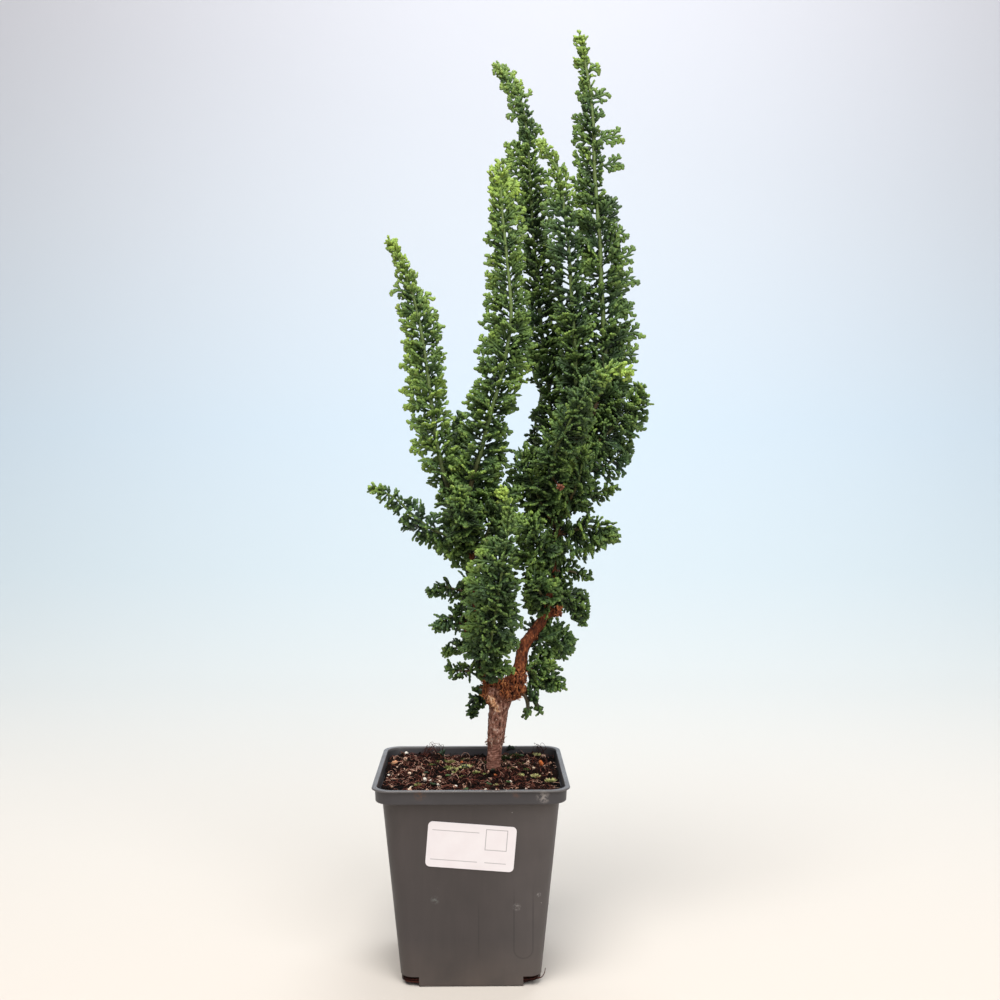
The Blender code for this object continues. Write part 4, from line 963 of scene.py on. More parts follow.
def make_stem(shoot, points, length):
    """The shoot's own stem, brown where it leaves the wood and green near its tip."""
    path = points[::STEM_EVERY] + [points[-1]] if (len(points) - 1) % STEM_EVERY else points[::STEM_EVERY]
    shares = [index / (len(path) - 1) for index in range(len(path))]
    knots = [1.0 + STEM_KNOTS * math.sin(index * 2.4) for index in range(len(path))]
    start = spur_radius(shoot) * STEM_SHARE
    radii = [(start + (STEM_TIP_RADIUS - start) * share) * knot * shoot.stem
             for share, knot in zip(shares, knots)]
    stem_points, triangles = tube(path, radii, STEM_SIDES)
    brown_until = min(1.0, (shoot.wood + STEM_BROWN_PAST_WOOD) / length)
    woody = [max(0.3, 1.0 - share / max(0.2, brown_until) * 0.55) for share in shares]
    count = len(stem_points)
    values = {"tone": np.full(count, shoot.tone), "along": np.zeros(count), "edge": np.zeros(count),
              "woody": np.append(np.repeat(woody, STEM_SIDES), [woody[0], woody[-1]])}
    return stem_points, triangles, values


def foliage_look():
    """Dark, slightly waxy green that turns yellow-green where it is new, with overlapping scale leaves, and
    painted shade at the foot of each scale and deeper in the crown.
    """
    look = Look("foliage")
    place = look.place()
    patches = look.noise(place, 16.0, detail=2.0)
    grain = look.noise(place, 1.6, detail=2.0)
    tone = look.plus(look.value("tone"), look.span(patches, 0.3, 0.7, -0.09, 0.09))
    tone = look.plus(tone, look.span(grain, 0.3, 0.7, -0.06, 0.06))
    green = look.ramp(tone, LEAF_GREENS)
    browned = look.span(look.noise(place, 3.2, detail=1.0), 0.62, 0.72, 0.0, 0.25)
    green = look.mix(look.times(browned, look.span(tone, 0.46, 0.62)), green, LEAF_BROWN)
    blue = look.span(look.noise(place, 34.0, detail=1.0), 0.50, 0.70)
    green = look.mix(look.times(blue, 0.42), green, LEAF_BLUE)
    slope = look.times(look.number("ABSOLUTE", look.value("edge")), 0.55)
    scale = look.number("FRACT", look.plus(look.times(look.value("along"), SCALES_PER_MM), slope))
    # Painted shade: each scale leaf is darker at its foot, where the scale before it overlaps it
    green = look.darkened(green, look.span(scale, 0.0, 0.30, 0.62, 1.0))
    bark = look.ramp(look.value("woody"), STEM_COLOURS)
    stem_tint = look.ramp(look.value("tone"), [(0.12, (0.28, 0.34, 0.32)), (0.26, (1.0, 1.0, 1.0))])
    bark = look.mix(1.0, bark, stem_tint, "MULTIPLY")
    bark = look.mix(look.span(grain, 0.45, 0.7, 0.0, 0.5), bark, (0.07, 0.05, 0.03))
    is_stem = look.span(look.value("woody"), 0.05, 0.15)
    look.surface(Base_Color=look.mix(is_stem, green, bark), Roughness=0.5, Specular_IOR_Level=0.35)
    look.bump(look.times(scale, look.minus(1.0, is_stem)), 0.25, 0.7)
    return look.made


# Wood


def spur_path(shoot):
    """The brown foot of a shoot, and its radius at each point."""
    points, length = smooth_curve(shoot.route, CURVE_STEP)
    steps = max(1, round(shoot.wood / length * (len(points) - 1)))
    start = spur_radius(shoot)
    end = start * STEM_SHARE + (STEM_TIP_RADIUS - start * STEM_SHARE) * shoot.wood / length
    return points[: steps + 1], [start + (end - start) * index / steps for index in range(steps + 1)]


def lump(middle, radii):
    """A ball pulled to three radii."""
    shape, triangles = ball(3)
    points = [Vector(middle) + Vector([way * radius for way, radius in zip(point, radii)]) for point in shape]
    return np.array(points), triangles


def fused(solids, voxel):
    """Overlapping solids as one skin, by voxels, as (points, normals, triangles) in millimetres."""
    points, triangles, _ = joined([(*solid, {}) for solid in solids])
    scratch = scratch_object("fused", points.tolist(), triangles.tolist())
    remesh = scratch.modifiers.new("remesh", "REMESH")
    remesh.mode = "VOXEL"
    remesh.voxel_size = voxel
    smooth = scratch.modifiers.new("smooth", "SMOOTH")
    smooth.iterations = 2
    result = evaluated_mesh(scratch)
    result.calc_loop_triangles()
    skin_points = [vertex.co.copy() for vertex in result.vertices]
    normals = [vertex.normal.copy() for vertex in result.vertices]
    skin = np.array([triangle.vertices[:] for triangle in result.loop_triangles])
    rough = scratch.data
    bpy.data.objects.remove(scratch, do_unlink=True)
    bpy.data.meshes.remove(rough)
    bpy.data.meshes.remove(result)
    return skin_points, normals, skin


def nearness(point, middle, reach):
    """1 at a place, fading to 0 well outside its reach."""
    return math.exp(-((point - Vector(middle)).length / reach) ** 2)


def ridged(point, scale):
    """Sharp ridges between round hollows, from noise stretched by a scale for each axis."""
    here = Vector([number / size for number, size in zip(point, scale)])
    return 1.0 - 2.0 * abs(noise.noise(here))


def bark_relief(point):
    """How far the bark stands out at a point: ridges up the wood, lumps, and the step round the trunk."""
    bark = ridged(point, BARK_RIDGE_SIZE) * 0.3 - 0.15
    bark += (noise.noise(point / 2.6) + 0.5 * noise.noise(point / 0.9)) * 0.4
    bark *= 1.0 if point.z < SMOOTHER_ABOVE[0] else 0.65 if point.z < SMOOTHER_ABOVE[1] else 0.4
    if BARK_STEP_HEIGHT < point.z + 3.0 * noise.noise(point / 3.0) < TRUNK_TOP:
        bark += BARK_STEP
    return bark


def fibre_relief(point):
    """How far the torn fibres stand out at a point: fine ridges over broad ones."""
    fine = FINE_FIBRE_DEPTH * (ridged(point, FINE_FIBRE_SIZE) - 0.48)
    return fine + BROAD_FIBRE_DEPTH * (ridged(point + Vector((7, 3, 1)), BROAD_FIBRE_SIZE) - 0.48)


def make_wood(look):
    """Trunk, knot, limbs, stubs and spurs grown together, with their bark in relief."""
    solids = [lump(middle, radii) for middle, radii in KNOT_LUMPS]
    for route, radii in LIMBS.values():
        path, _ = smooth_curve(route, 3.0)
        widths = [three_way(radii, index / (len(path) - 1)) for index in range(len(path))]
        solids.append(tube(path, widths, LIMB_SIDES))
    for shoot in SHOOTS:
        solids.append(tube(*spur_path(shoot), SPUR_SIDES))
    points, normals, triangles = fused(solids, WOOD_VOXEL)
    values = {"relief": [], "torn": [], "raw": [], "height": []}
    for point in points:
        warped = point + noise.noise_vector(point / 1.6) * 1.4
        torn = min(1.0, 1.6 * max(nearness(warped, middle, reach) for middle, reach in TORN_PLACES))
        raw = min(1.0, 1.7 * max(nearness(warped, middle, reach) for middle, reach in RAW_PLACES))
        bark = bark_relief(point)
        values["relief"].append(bark + (fibre_relief(point) - bark) * torn * (1 - RAW_FLATNESS * raw))
        values["torn"].append(torn)
        values["raw"].append(raw)
        values["height"].append(point.z)
    moved = np.array(points) + np.array(normals) * np.array(values["relief"])[:, None]
    piece = mesh_piece("wood", moved, triangles, look, values)
    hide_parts("trunk_and_limbs")
    return moved, np.array(normals), values


def wood_look():
    """Brown bark that is redder up the limbs, torn orange fibres round the knot, and a scrap of raw wood,
    with painted shade where the relief sinks and painted highlight on the fibres' crests.
    """
    look = Look("bark")
    place = look.place()
    height = look.value("height")
    plates = look.noise(look.stretched(place, (1.0, 1.0, 0.45)), 1.5, detail=4.0, roughness=0.65)
    bands = look.noise(look.stretched(place, (0.5, 0.5, 2.2)), 1.6, detail=4.0, roughness=0.7)
    fine = look.noise(place, 0.6, detail=3.0)
    smooth = look.ramp(bands, SMOOTH_BARK)
    scaly = look.ramp(plates, SCALY_BARK)
    above_step = look.span(height, BARK_STEP_HEIGHT - 1.0, BARK_STEP_HEIGHT + 1.0)
    colour = look.mix(look.span(height, 156.0, 172.0), look.mix(above_step, smooth, scaly),
                      look.ramp(plates, LIMB_BARK))
    colour = look.mix(look.span(height, 222.0, 262.0), colour, look.ramp(plates, UPPER_BARK))
    # The torn fibres run from near black in their troughs to pale orange on their crests: partly their own
    # colour, partly painted shade and painted highlight
    crests = look.plus(look.span(look.value("relief"), -1.6, 2.4), look.span(plates, 0.3, 0.7, -0.25, 0.25))
    torn = look.ramp(crests, TORN_FIBRES)
    ruddy = look.span(look.noise(place, 7.0, detail=2.0), 0.44, 0.62, 0.0, 0.60)
    torn = look.mix(ruddy, torn, (0.135, 0.046, 0.026))
    colour = look.mix(look.span(look.value("torn"), 0.30, 0.75), colour, torn)
    raw_wood = look.ramp(plates, RAW_WOOD)
    colour = look.mix(look.span(look.value("raw"), 0.30, 0.80), colour, raw_wood)
    # Painted shade: the bark is darkened where its relief sinks, in its furrows and between the fibres
    colour = look.darkened(colour, look.span(look.value("relief"), -0.9, 0.05, 0.30, 1.0))
    look.surface(Base_Color=colour, Roughness=look.span(fine, 0.3, 0.7, 0.70, 0.95), Specular_IOR_Level=0.25)
    look.bump(look.plus(plates, look.times(fine, 0.4)), 0.5, 0.8)
    return look.made


def strip(foot, along, out, length, width, thickness, curl):
    """A thin, closed strip that lies along a surface and curls off it towards its end."""
    across = along.cross(out).normalized()
    points = []
    for index in range(STRIP_STEPS + 1):
        share = index / STRIP_STEPS
        middle = foot + along * length * share + out * (curl * share**2)
        half = across * width * 0.5 * (0.55 + 0.9 * share * (1.0 - share) * 2)
        points += [middle - half, middle + half, middle + half * 0.6 + out * thickness,
                   middle - half * 0.6 + out * thickness]
    last = STRIP_STEPS * 4
    caps = [(2, 1, 0), (3, 2, 0), (last, last + 1, last + 2), (last, last + 2, last + 3)]
    return np.array(points), np.concatenate([ring_triangles(STRIP_STEPS + 1, 4), caps])


def make_bark_scraps(look, points, normals, values):
    """Curled flakes over the trunk and the low limb, and splinters where the knot has torn."""
    draw = random.Random("bark scraps")
    heights, torn = np.array(values["height"]), np.array(values["torn"])
    above_ring = heights - BARK_STEP_HEIGHT
    places = {
        "ring": np.flatnonzero((above_ring > -2) & (above_ring < 2) & (torn < 0.2)),
        "trunk": np.flatnonzero((above_ring > 0) & (heights < 156) & (torn < 0.3)),
        "limb": np.flatnonzero((heights > 168) & (heights < 212) & (points[:, 0] > 24)),
        "crests": np.flatnonzero((torn > 0.55) & (np.array(values["relief"]) > 0.5)
                                 & (np.array(values["raw"]) < 0.3)),
    }
    parts = []
    for name, count, warm, darkest, longest, widest, curl, stand in SCRAPS:
        for _ in range(count):
            index = draw.choice(places[name])
            out = Vector(normals[index])
            foot = Vector(points[index]) - out * SCRAP_SUNK
            along = UP * draw.choice((-1, 1)) + Vector([draw.uniform(-0.8, 0.8) for _ in range(3)])
            along = (along - out * along.dot(out)).normalized()
            along = (along + (out + UP * 0.5) * stand * draw.uniform(0.3, 1.3)).normalized()
            solid = strip(foot, along, out, draw.uniform(0.35, 1.0) * longest,
                          draw.uniform(0.4, 1.0) * widest, 0.16 + 0.12 * warm, draw.uniform(-0.1, 1.0) * curl)
            solid_points, triangles, shades = shaded(solid, draw.uniform(darkest, 1.0))
            shades["warm"] = np.full(len(solid_points), warm)
            parts.append((solid_points, triangles, shades))
    scrap_points, triangles, shades = joined(parts)
    piece = mesh_piece("bark_scraps", scrap_points, triangles, look, shades, smooth=False)


def scrap_look():
    """Scraps from grey-brown to pale, or orange where they are warm."""
    look = Look("bark_scraps")
    place = look.place()
    fine = look.noise(place, 0.8, detail=2.0)
    shade = look.plus(look.value("shade"), look.span(fine, 0.3, 0.7, -0.12, 0.12))
    grey = look.ramp(shade, GREY_SCRAPS)
    orange = look.ramp(shade, ORANGE_SCRAPS)
    look.surface(Base_Color=look.mix(look.value("warm"), grey, orange), Roughness=0.85)
    look.bump(fine, 0.2, 0.6)
    return look.made


def make_dead_twig(look):
    """A twig in the crown that ends in a small cluster of dead brown leaves."""
    draw = random.Random("dead twig")
    path, _ = smooth_curve(DEAD_TWIG, CURVE_STEP)
    branchlets = Branchlets()
    for index in range(DEAD_LEAVES):
        turn = index * GOLDEN_ANGLE
        along = Vector((math.cos(turn), -0.7, math.sin(turn))).normalized()
        normal = along.cross(Vector((0, 1, 0))).normalized()
        grow_branchlet(branchlets, draw, path[-1] - UP * 0.4, along, along, normal,
                       draw.uniform(2.0, 3.0), 0.3)
    leaf_points, leaf_triangles, leaf_values = branchlets.mesh()
    leaves = leaf_points, leaf_triangles, {"shade": np.clip(0.30 + 0.08 * leaf_values["along"], 0.0, 0.8)}
    stem = shaded(tube(path, [0.5] * len(path), STEM_SIDES), 0.4)
    points, triangles, shades = joined([leaves, stem])
    shades["warm"] = np.full(len(points), DEAD_WARMTH)
    mesh_piece("dead_twig", points, triangles, look, shades)


# Pot


def pot_half(height):
    """Half the body's outer width at a height below the band."""
    return POT_HALF_FOOT + (POT_HALF_UNDER_BAND - POT_HALF_FOOT) * height / BAND_BOTTOM


def rounded_rectangle(half_x, half_y, radius, steps):
    """Points round a rectangle with round corners, anticlockwise from +X."""
    outline = []
    for corner in range(4):
        middle = math.radians(45 + 90 * corner)
        centre_x = math.copysign(half_x - radius, math.cos(middle))
        centre_y = math.copysign(half_y - radius, math.sin(middle))
        for step in range(steps + 1):
            angle = math.radians(90 * corner + 90 * step / steps)
            outline.append((centre_x + radius * math.cos(angle), centre_y + radius * math.sin(angle)))
    return outline


def rounded_square(half, height):
    """A ring of the pot, whose corners are as round for its size as the lip's."""
    flat = rounded_rectangle(half, half, CORNER_RADIUS * half / LIP_HALF, CORNER_STEPS)
    return [(x, y, height) for x, y in flat]


def arc(centre_half, centre_height, radius, first, last, steps):
    """Points of a rounded edge in the pot's profile, by angle from outward."""
    angles = [math.radians(first + (last - first) * step / steps) for step in range(steps + 1)]
    return [(centre_half + radius * math.cos(angle), centre_height + radius * math.sin(angle))
            for angle in angles]


def capped_loft(rings):
    """A skin over rings with a flat cap at each end, as (points, faces)."""
    points = [point for ring in rings for point in ring]
    count = len(rings[0])
    faces = []
    for level in range(len(rings) - 1):
        low, high = level * count, (level + 1) * count
        for index in range(count):
            after = (index + 1) % count
            faces.append((low + index, low + after, high + after, high + index))
    faces.append(tuple(reversed(range(count))))
    faces.append(tuple(range(len(points) - count, len(points))))
    return points, faces


def pot_profile():
    """The shell's section as (half width, height), up its outside, over the lip and down its inside."""
    lip_under = POT_HEIGHT - LIP_THICKNESS
    lip_round = LIP_THICKNESS / 2
    lip_inner = LIP_HALF - LIP_WIDTH
    profile = [(POT_HALF_FOOT - FOOT_EDGE, 0.0), (POT_HALF_FOOT, FOOT_EDGE)]
    profile += [(pot_half(height), height) for height in (8.0, 30.0, 55.0, 80.0, BAND_BOTTOM - 1.2)]
    profile += arc(pot_half(BAND_BOTTOM) + BAND_EDGE, BAND_BOTTOM - BAND_EDGE, BAND_EDGE, 180, 90, 3)
    profile += arc(BAND_HALF - BAND_EDGE, BAND_BOTTOM + BAND_EDGE, BAND_EDGE, -90, 0, 5)
    profile += arc(BAND_HALF + BAND_EDGE, lip_under - LIP_EDGE, LIP_EDGE, 180, 90, 3)
    profile += arc(LIP_HALF - lip_round, lip_under + lip_round, lip_round, -90, 90, 8)
    profile += arc(lip_inner + LIP_EDGE, POT_HEIGHT - LIP_EDGE, LIP_EDGE, 90, 180, 3)
    profile += [(BAND_HALF - POT_WALL, LEDGE_HEIGHT + 0.1), (pot_half(BAND_BOTTOM) - POT_WALL, LEDGE_HEIGHT),
                (pot_half(POT_FLOOR) - POT_WALL, POT_FLOOR)]
    return profile


def make_pot(look):
    """The moulded shell: tapered sides, a stepped band, a flat lip with soft edges and four drain notches."""
    pot = scratch_object("pot_shell", *capped_loft([rounded_square(*ring) for ring in pot_profile()]))
    cutters = []
    for side_x, side_y in POT_CORNERS:
        across = sorted((side_x * NOTCH_HALF_GAP, side_x * NOTCH_CUT_REACH))
        deep = sorted((side_y * NOTCH_HALF_GAP, side_y * NOTCH_CUT_REACH))
        ring = [(across[0], deep[0]), (across[1], deep[0]), (across[1], deep[1]), (across[0], deep[1])]
        levels = [[(x, y, z) for x, y in ring] for z in (-NOTCH_HEIGHT, NOTCH_HEIGHT)]
        cutters.append(scratch_object("notch", *capped_loft(levels)))
        cut = pot.modifiers.new("notch", "BOOLEAN")
        cut.operation = "DIFFERENCE"
        cut.solver = "MANIFOLD"
        cut.object = cutters[-1]
    mesh = evaluated_mesh(pot)
    for cutter in cutters:
        bpy.data.objects.remove(cutter, do_unlink=True)
    pot.modifiers.clear()
    pot.data = mesh
    mesh.transform(Matrix.Scale(MM, 4))
    mesh.shade_smooth()
    mesh.set_sharp_from_angle(angle=math.radians(32))
    mesh.materials.clear()
    mesh.materials.append(look)
    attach(pot, "root")
    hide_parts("pot")


def on_front(look, axes):
    """1 on the pot's front half and 0 behind it."""
    return look.number("LESS_THAN", axes["Y"], 0.0)


def scuffed(look, axes):
    """How much of the scuff shows at a place on the pot's front."""
    middle, half_width, low, high = SCUFF
    across = look.minus(axes["X"], middle * MM)
    below = look.number("MINIMUM", look.minus(axes["Z"], low * MM), 0.0)
    squares = look.plus(look.times(across, across), look.times(below, below))
    off_line = look.number("ABSOLUTE", look.minus(look.number("SQRT", squares), half_width * MM))
    line = look.span(off_line, 0.6 * MM, 0.2 * MM, 0.0, 0.45)
    line = look.times(line, look.span(axes["Z"], high * MM, (high - 14) * MM))
    return look.times(line, on_front(look, axes))


def mould_line(look, axes):
    """How much of the mould's line shows at a place on the pot's front."""
    across, low, high = MOULD_LINE
    beside = look.number("ABSOLUTE", look.minus(axes["X"], across * MM))
    line = look.times(look.span(beside, 0.5 * MM, 0.2 * MM), on_front(look, axes))
    inside = look.times(look.span(axes["Z"], low * MM, (low + 4) * MM),
                        look.span(axes["Z"], high * MM, (high - 6) * MM))
    return look.times(line, look.times(inside, 0.35))


def pot_look():
    """Dark grey moulded plastic, a little scuffed, with specks of dust, dust round its foot, and lime and
    rust where water ran. Its right side is painted paler, as if lit from there, and its lip carries a painted
    highlight.
    """
    look = Look("pot_plastic")
    place = look.place()
    axes = look.axes(place)
    height = axes["Z"]
    clouds = look.noise(place, 22.0, detail=4.0)
    streaks = look.noise(look.stretched(place, (1.0, 1.0, 0.12)), 3.5, detail=3.0)
    grain = look.noise(place, 0.35, detail=2.0)
    body = look.ramp(look.plus(look.times(clouds, 0.6), look.times(streaks, 0.4)), POT_BODY)
    # Painted light: the body turns paler towards the pot's right side, as if lit from the right, broken up by
    # the clouds
    right_side_painted_light = look.span(axes["X"], 5.0 * MM, 42.0 * MM, 0.0, 0.10)
    body = look.mix(look.times(right_side_painted_light, look.span(clouds, 0.3, 0.7, 0.6, 1.0)), body, (0.30, 0.27, 0.26))
    band = look.ramp(clouds, POT_BAND)
    colour = look.mix(look.span(height, (BAND_BOTTOM - 0.6) * MM, (BAND_BOTTOM + 0.4) * MM), body, band)
    lip_under = POT_HEIGHT - LIP_THICKNESS
    on_lip = look.span(height, (lip_under - 0.4) * MM, lip_under * MM)
    # Painted highlight: the lip is painted paler than the body; its lower roughness below is real
    colour = look.mix(on_lip, colour, POT_LIP_PAINTED_HIGHLIGHT)
    colour = look.mix(mould_line(look, axes), colour, (0.02, 0.018, 0.018))
    colour = look.mix(scuffed(look, axes), colour, (0.020, 0.018, 0.019))
    foot_dust = look.span(height, 0.0, 28.0 * MM, 0.2, 0.0)
    colour = look.mix(look.times(foot_dust, clouds), colour, (0.30, 0.22, 0.16))
    for at, reach, tint, amount in POT_MARKS:
        apart = look.node("ShaderNodeVectorMath", {0: place, 1: tuple(number * MM for number in at)},
                          operation="DISTANCE").outputs["Value"]
        inside = look.span(apart, reach * MM, reach * 0.35 * MM)
        blotch = look.span(look.noise(place, reach * 0.6, detail=4.0, roughness=0.7), 0.44, 0.58)
        colour = look.mix(look.times(look.times(inside, blotch), amount), colour, tint)
    specks = look.span(look.cells(place, 5.5), 0.045, 0.03)
    sparse = look.span(look.noise(place, 12.0, detail=1.0), 0.56, 0.62)
    colour = look.mix(look.times(look.times(specks, sparse), 0.7), colour, (0.5, 0.46, 0.42))
    rough = look.span(clouds, 0.3, 0.7, 0.40, 0.56)
    look.surface(Base_Color=colour, Roughness=look.number("MULTIPLY_ADD", on_lip, -0.16, rough),
                 Specular_IOR_Level=0.45)
    look.bump(look.plus(look.times(grain, 0.6), look.times(streaks, 0.4)), 0.08, 0.4)
    return look.made


# Soil


def rim_point(angle, half):
    """The point of a square with round corners that lies in one direction from the middle."""
    across, up = math.cos(angle), math.sin(angle)
    radius = CORNER_RADIUS * half / LIP_HALF
    corner = half - radius
    reach = half / max(abs(across), abs(up))
    if min(abs(across), abs(up)) * reach > corner:
        toward = corner * (abs(across) + abs(up))
        reach = toward + math.sqrt(toward**2 - 2 * corner**2 + radius**2)
    return across * reach, up * reach


def soil_height(x, y):
    """The surface of the soil: heaped a little round the trunk and against the wall, and crumbly."""
    heap = sum(height * math.exp(-((math.hypot(x - heap_x, y - heap_y) / reach) ** 2))
               for heap_x, heap_y, reach, height in SOIL_HEAPS)
    rough = sum(height * noise.noise(Vector((x, y, 0)) / across) for across, height in SOIL_RELIEF)
    return max(SOIL_LOWEST, SOIL_LEVEL + heap + rough)


def make_soil(look):
    """The soil as one crumbly skin: up its sides, in across its surface and down beside the trunk."""
    angles = [math.tau * index / SOIL_SIDES for index in range(SOIL_SIDES)]
    gap = SOIL_GAP + POT_WALL
    levels = [(pot_half(height) - gap, height) for height in (1.9, 4.0, 7.0, 12.0, 40.0, 80.0, 106.0)]
    levels += [(pot_half(BAND_BOTTOM) - gap, LEDGE_HEIGHT + 0.3), (BAND_HALF - gap, LEDGE_HEIGHT + 0.4)]
    rings = [[(*rim_point(angle, half - 0.35 * abs(noise.noise(Vector((angle * 9, height, 0))))), height)
              for angle in angles] for half, height in levels]
    outer = [rim_point(angle, BAND_HALF - gap) for angle in angles]
    hole = [(TRUNK_X + TRUNK_HOLE * math.cos(angle), TRUNK_Y + TRUNK_HOLE * math.sin(angle))
            for angle in angles]
    for ring_index in range(SOIL_RINGS + 1):
        inward = ring_index / SOIL_RINGS
        flat = [(edge[0] + (inner[0] - edge[0]) * inward, edge[1] + (inner[1] - edge[1]) * inward)
                for edge, inner in zip(outer, hole)]
        rings.append([(x, y, soil_height(x, y)) for x, y in flat])
    rings.append([(x, y, TRUNK_FOOT) for x, y in hole])
    points = [point for ring in rings for point in ring]
    points += [(0.0, 0.0, levels[0][1]), (TRUNK_X, TRUNK_Y, TRUNK_FOOT)]
    piece = mesh_piece("soil_body", points, closed_triangles(len(rings), SOIL_SIDES), look)
    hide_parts("soil")


def soil_look():
    """Dark reddish brown peat, paler in patches, with painted shade that turns it black in its hollows and
    down its sides.
    """
    look = Look("soil")
    place = look.place()
    fine = look.noise(place, 1.1, detail=5.0, roughness=0.7)
    broad = look.noise(place, 9.0, detail=2.0)
    colour = look.ramp(look.plus(look.times(fine, 0.75), look.times(broad, 0.25)), PEAT_COLOURS)
    height = look.axes(place)["Z"]
    # Painted shade: the lower the soil lies, the darker it is painted, near black in its hollows and down its
    # sides inside the pot
    hollow_shade = look.span(height, SOIL_LOWEST * MM, (SOIL_LOWEST + SHADED_HOLLOW_DEPTH) * MM, 0.12, 1.0)
    look.surface(Base_Color=look.darkened(colour, hollow_shade), Roughness=0.95, Specular_IOR_Level=0.08)
    look.bump(fine, 0.7, 1.0)
    return look.made


def grain(draw, shape, place, radii, roughness):
    """One irregular grain at a place: a ball with lumps, pulled to three radii and turned at random."""
    points, triangles = shape
    seed = Vector([draw.uniform(0, 60) for _ in range(3)])
    lumps = np.array([1.0 + roughness * noise.noise(Vector(point) * 1.4 + seed) for point in points])
    turn = Matrix.Rotation(draw.uniform(0, math.tau), 3, Vector([draw.uniform(-1, 1) for _ in range(3)]))
    moved = (points * lumps[:, None] * np.array(radii)) @ np.array(turn).T + np.array(place)
    return moved, triangles


def on_soil(x, y, lift=0.0):
    return Vector((x, y, soil_height(x, y) + lift))


def soil_spot(draw):
    """A random place on the soil, away from the trunk."""
    reach = BAND_HALF - POT_WALL - SOIL_GAP - 1.5
    while True:
        x, y = draw.uniform(-reach, reach), draw.uniform(-reach, reach)
        edge = math.hypot(*rim_point(math.atan2(y, x), reach))
        if math.hypot(x, y) < edge and math.hypot(x - TRUNK_X, y - TRUNK_Y) > CLEAR_OF_TRUNK:
            return x, y


def make_crumbs(look):
    """Loose crumbs of peat all over the soil."""
    draw = random.Random("crumbs")
    parts = []
    for count, shape, sizes in ((LARGE_CRUMBS, ball(1), (0.8, 1.9)), (SMALL_CRUMBS, ball(0), (0.3, 0.9))):
        for _ in range(count):
            size = draw.uniform(*sizes)
            place = on_soil(*soil_spot(draw), size * 0.25)
            radii = [size * draw.uniform(0.6, 1.1) for _ in range(3)]
            parts.append(shaded(grain(draw, shape, place, radii, 0.6), draw.random()))
    points, triangles, values = joined(parts)
    mesh_piece("soil_crumbs", points, triangles, look, values, smooth=False)


def thread(draw, start, way, length, radius, curl, rise):
    """A limp strand that wanders over the soil, as (points, triangles)."""
    steps = max(4, round(length / 1.1))
    path = []
    heading = math.atan2(way[1], way[0])
    x, y = start
    turn = draw.uniform(-curl, curl)
    for index in range(steps + 1):
        share = index / steps
        path.append(on_soil(x, y, rise * math.sin(share * math.pi) + radius * 0.8))
        heading += turn + draw.uniform(-0.25, 0.25)
        turn += draw.uniform(-0.12, 0.12)
        x += math.cos(heading) * length / steps
        y += math.sin(heading) * length / steps
    radii = [radius * (1.0 - 0.6 * index / steps) for index in range(steps + 1)]
    return tube(path, radii, 3)


def make_soil_fibres(look):
    """Fine curled strands of coir and root that lie tangled over the soil."""
    draw = random.Random("soil fibres")
    parts = []
    for _ in range(SOIL_FIBRES):
        spot = soil_spot(draw)
        if noise.noise(Vector((*spot, 0)) / FIBRE_PATCH) < FIBRES_BARE_BELOW:
            continue
        strand = thread(draw, spot, flat_way(draw.uniform(0, math.tau)), draw.uniform(3, 10),
                        draw.uniform(0.10, 0.20), 0.5, draw.uniform(0.1, 2.0))
        parts.append(shaded(strand, draw.random()))
    for x, y in CURLY_ROOTS:
        for _ in range(ROOTS_IN_CURL):
            way = flat_way(draw.uniform(0, math.tau))
            strand = thread(draw, (x + draw.uniform(-3, 3), y + draw.uniform(-2, 2)), way,
                            draw.uniform(9, 16), 0.17, 0.9, draw.uniform(4.5, 8.5))
            parts.append(shaded(strand, draw.uniform(0.1, 0.6)))
    points, triangles, values = joined(parts)
    keep_inside(points)
    mesh_piece("soil_fibres", points, triangles, look, values)


def keep_inside(points):
    """Pushes strands that wander past the wall back inside the pot."""
    reach = BAND_HALF - POT_WALL - 0.8
    for point in points:
        edge = math.hypot(*rim_point(math.atan2(point[1], point[0]), reach))
        apart = math.hypot(point[0], point[1])
        if apart > edge:
            point[:2] *= edge / apart


def scatter_look(name, stops):
    """Loose bits whose colours run over a ramp from one bit to the next."""
    look = Look(name)
    fine = look.noise(look.place(), 0.7, detail=3.0)
    shade = look.plus(look.value("shade"), look.span(fine, 0.3, 0.7, -0.15, 0.15))
    look.surface(Base_Color=look.ramp(shade, stops), Roughness=0.9, Specular_IOR_Level=0.12)
    look.bump(fine, 0.25, 0.8)
    return look.made


def make_bits(look):
    """White grit, a bark chip, a dead leaf and other odd bits on the soil."""
    draw = random.Random("bits")
    shape = ball(2)
    parts = [shaded(grain(draw, shape, on_soil(x, y, min(radii) * 0.7), radii, 0.5), shade)
             for x, y, radii, shade in SOIL_BITS]
    points, triangles, values = joined(parts)
    mesh_piece("soil_bits", points, triangles, look, values)


def make_moss(look):
    """Cushions of moss, each a lump under short upright leaves."""
    draw = random.Random("moss")
    shape = ball(2)
    parts = []
    for x, y, reach, shade in MOSS:
        middle = on_soil(x, y, -0.2)
        radii = (reach * 0.6, reach * 0.5, reach * 0.25)
        parts.append(shaded(grain(draw, shape, middle, radii, 0.9), shade * 0.5))
        for _ in range(round(MOSS_LEAVES * reach)):
            out = Vector((draw.gauss(0, 1), draw.gauss(0, 1), abs(draw.gauss(0, 1)) + 0.2)).normalized()
            spread = draw.uniform(0.3, 1.0) ** 0.5
            foot = middle + Vector((out.x * reach * spread, out.y * reach * 0.85 * spread,
                                    out.z * reach * 0.2))
            way = (out + UP * 0.6).normalized()
            height = draw.uniform(0.8, 1.8) * (0.6 + reach * 0.16)
            blade = tube([foot, foot + way * height * 0.5, foot + way * height], MOSS_BLADE_RADII, 3)
            parts.append(shaded(blade, shade + draw.uniform(-0.25, 0.25)))
    points, triangles, values = joined(parts)
    mesh_piece("moss", points, triangles, look, values)


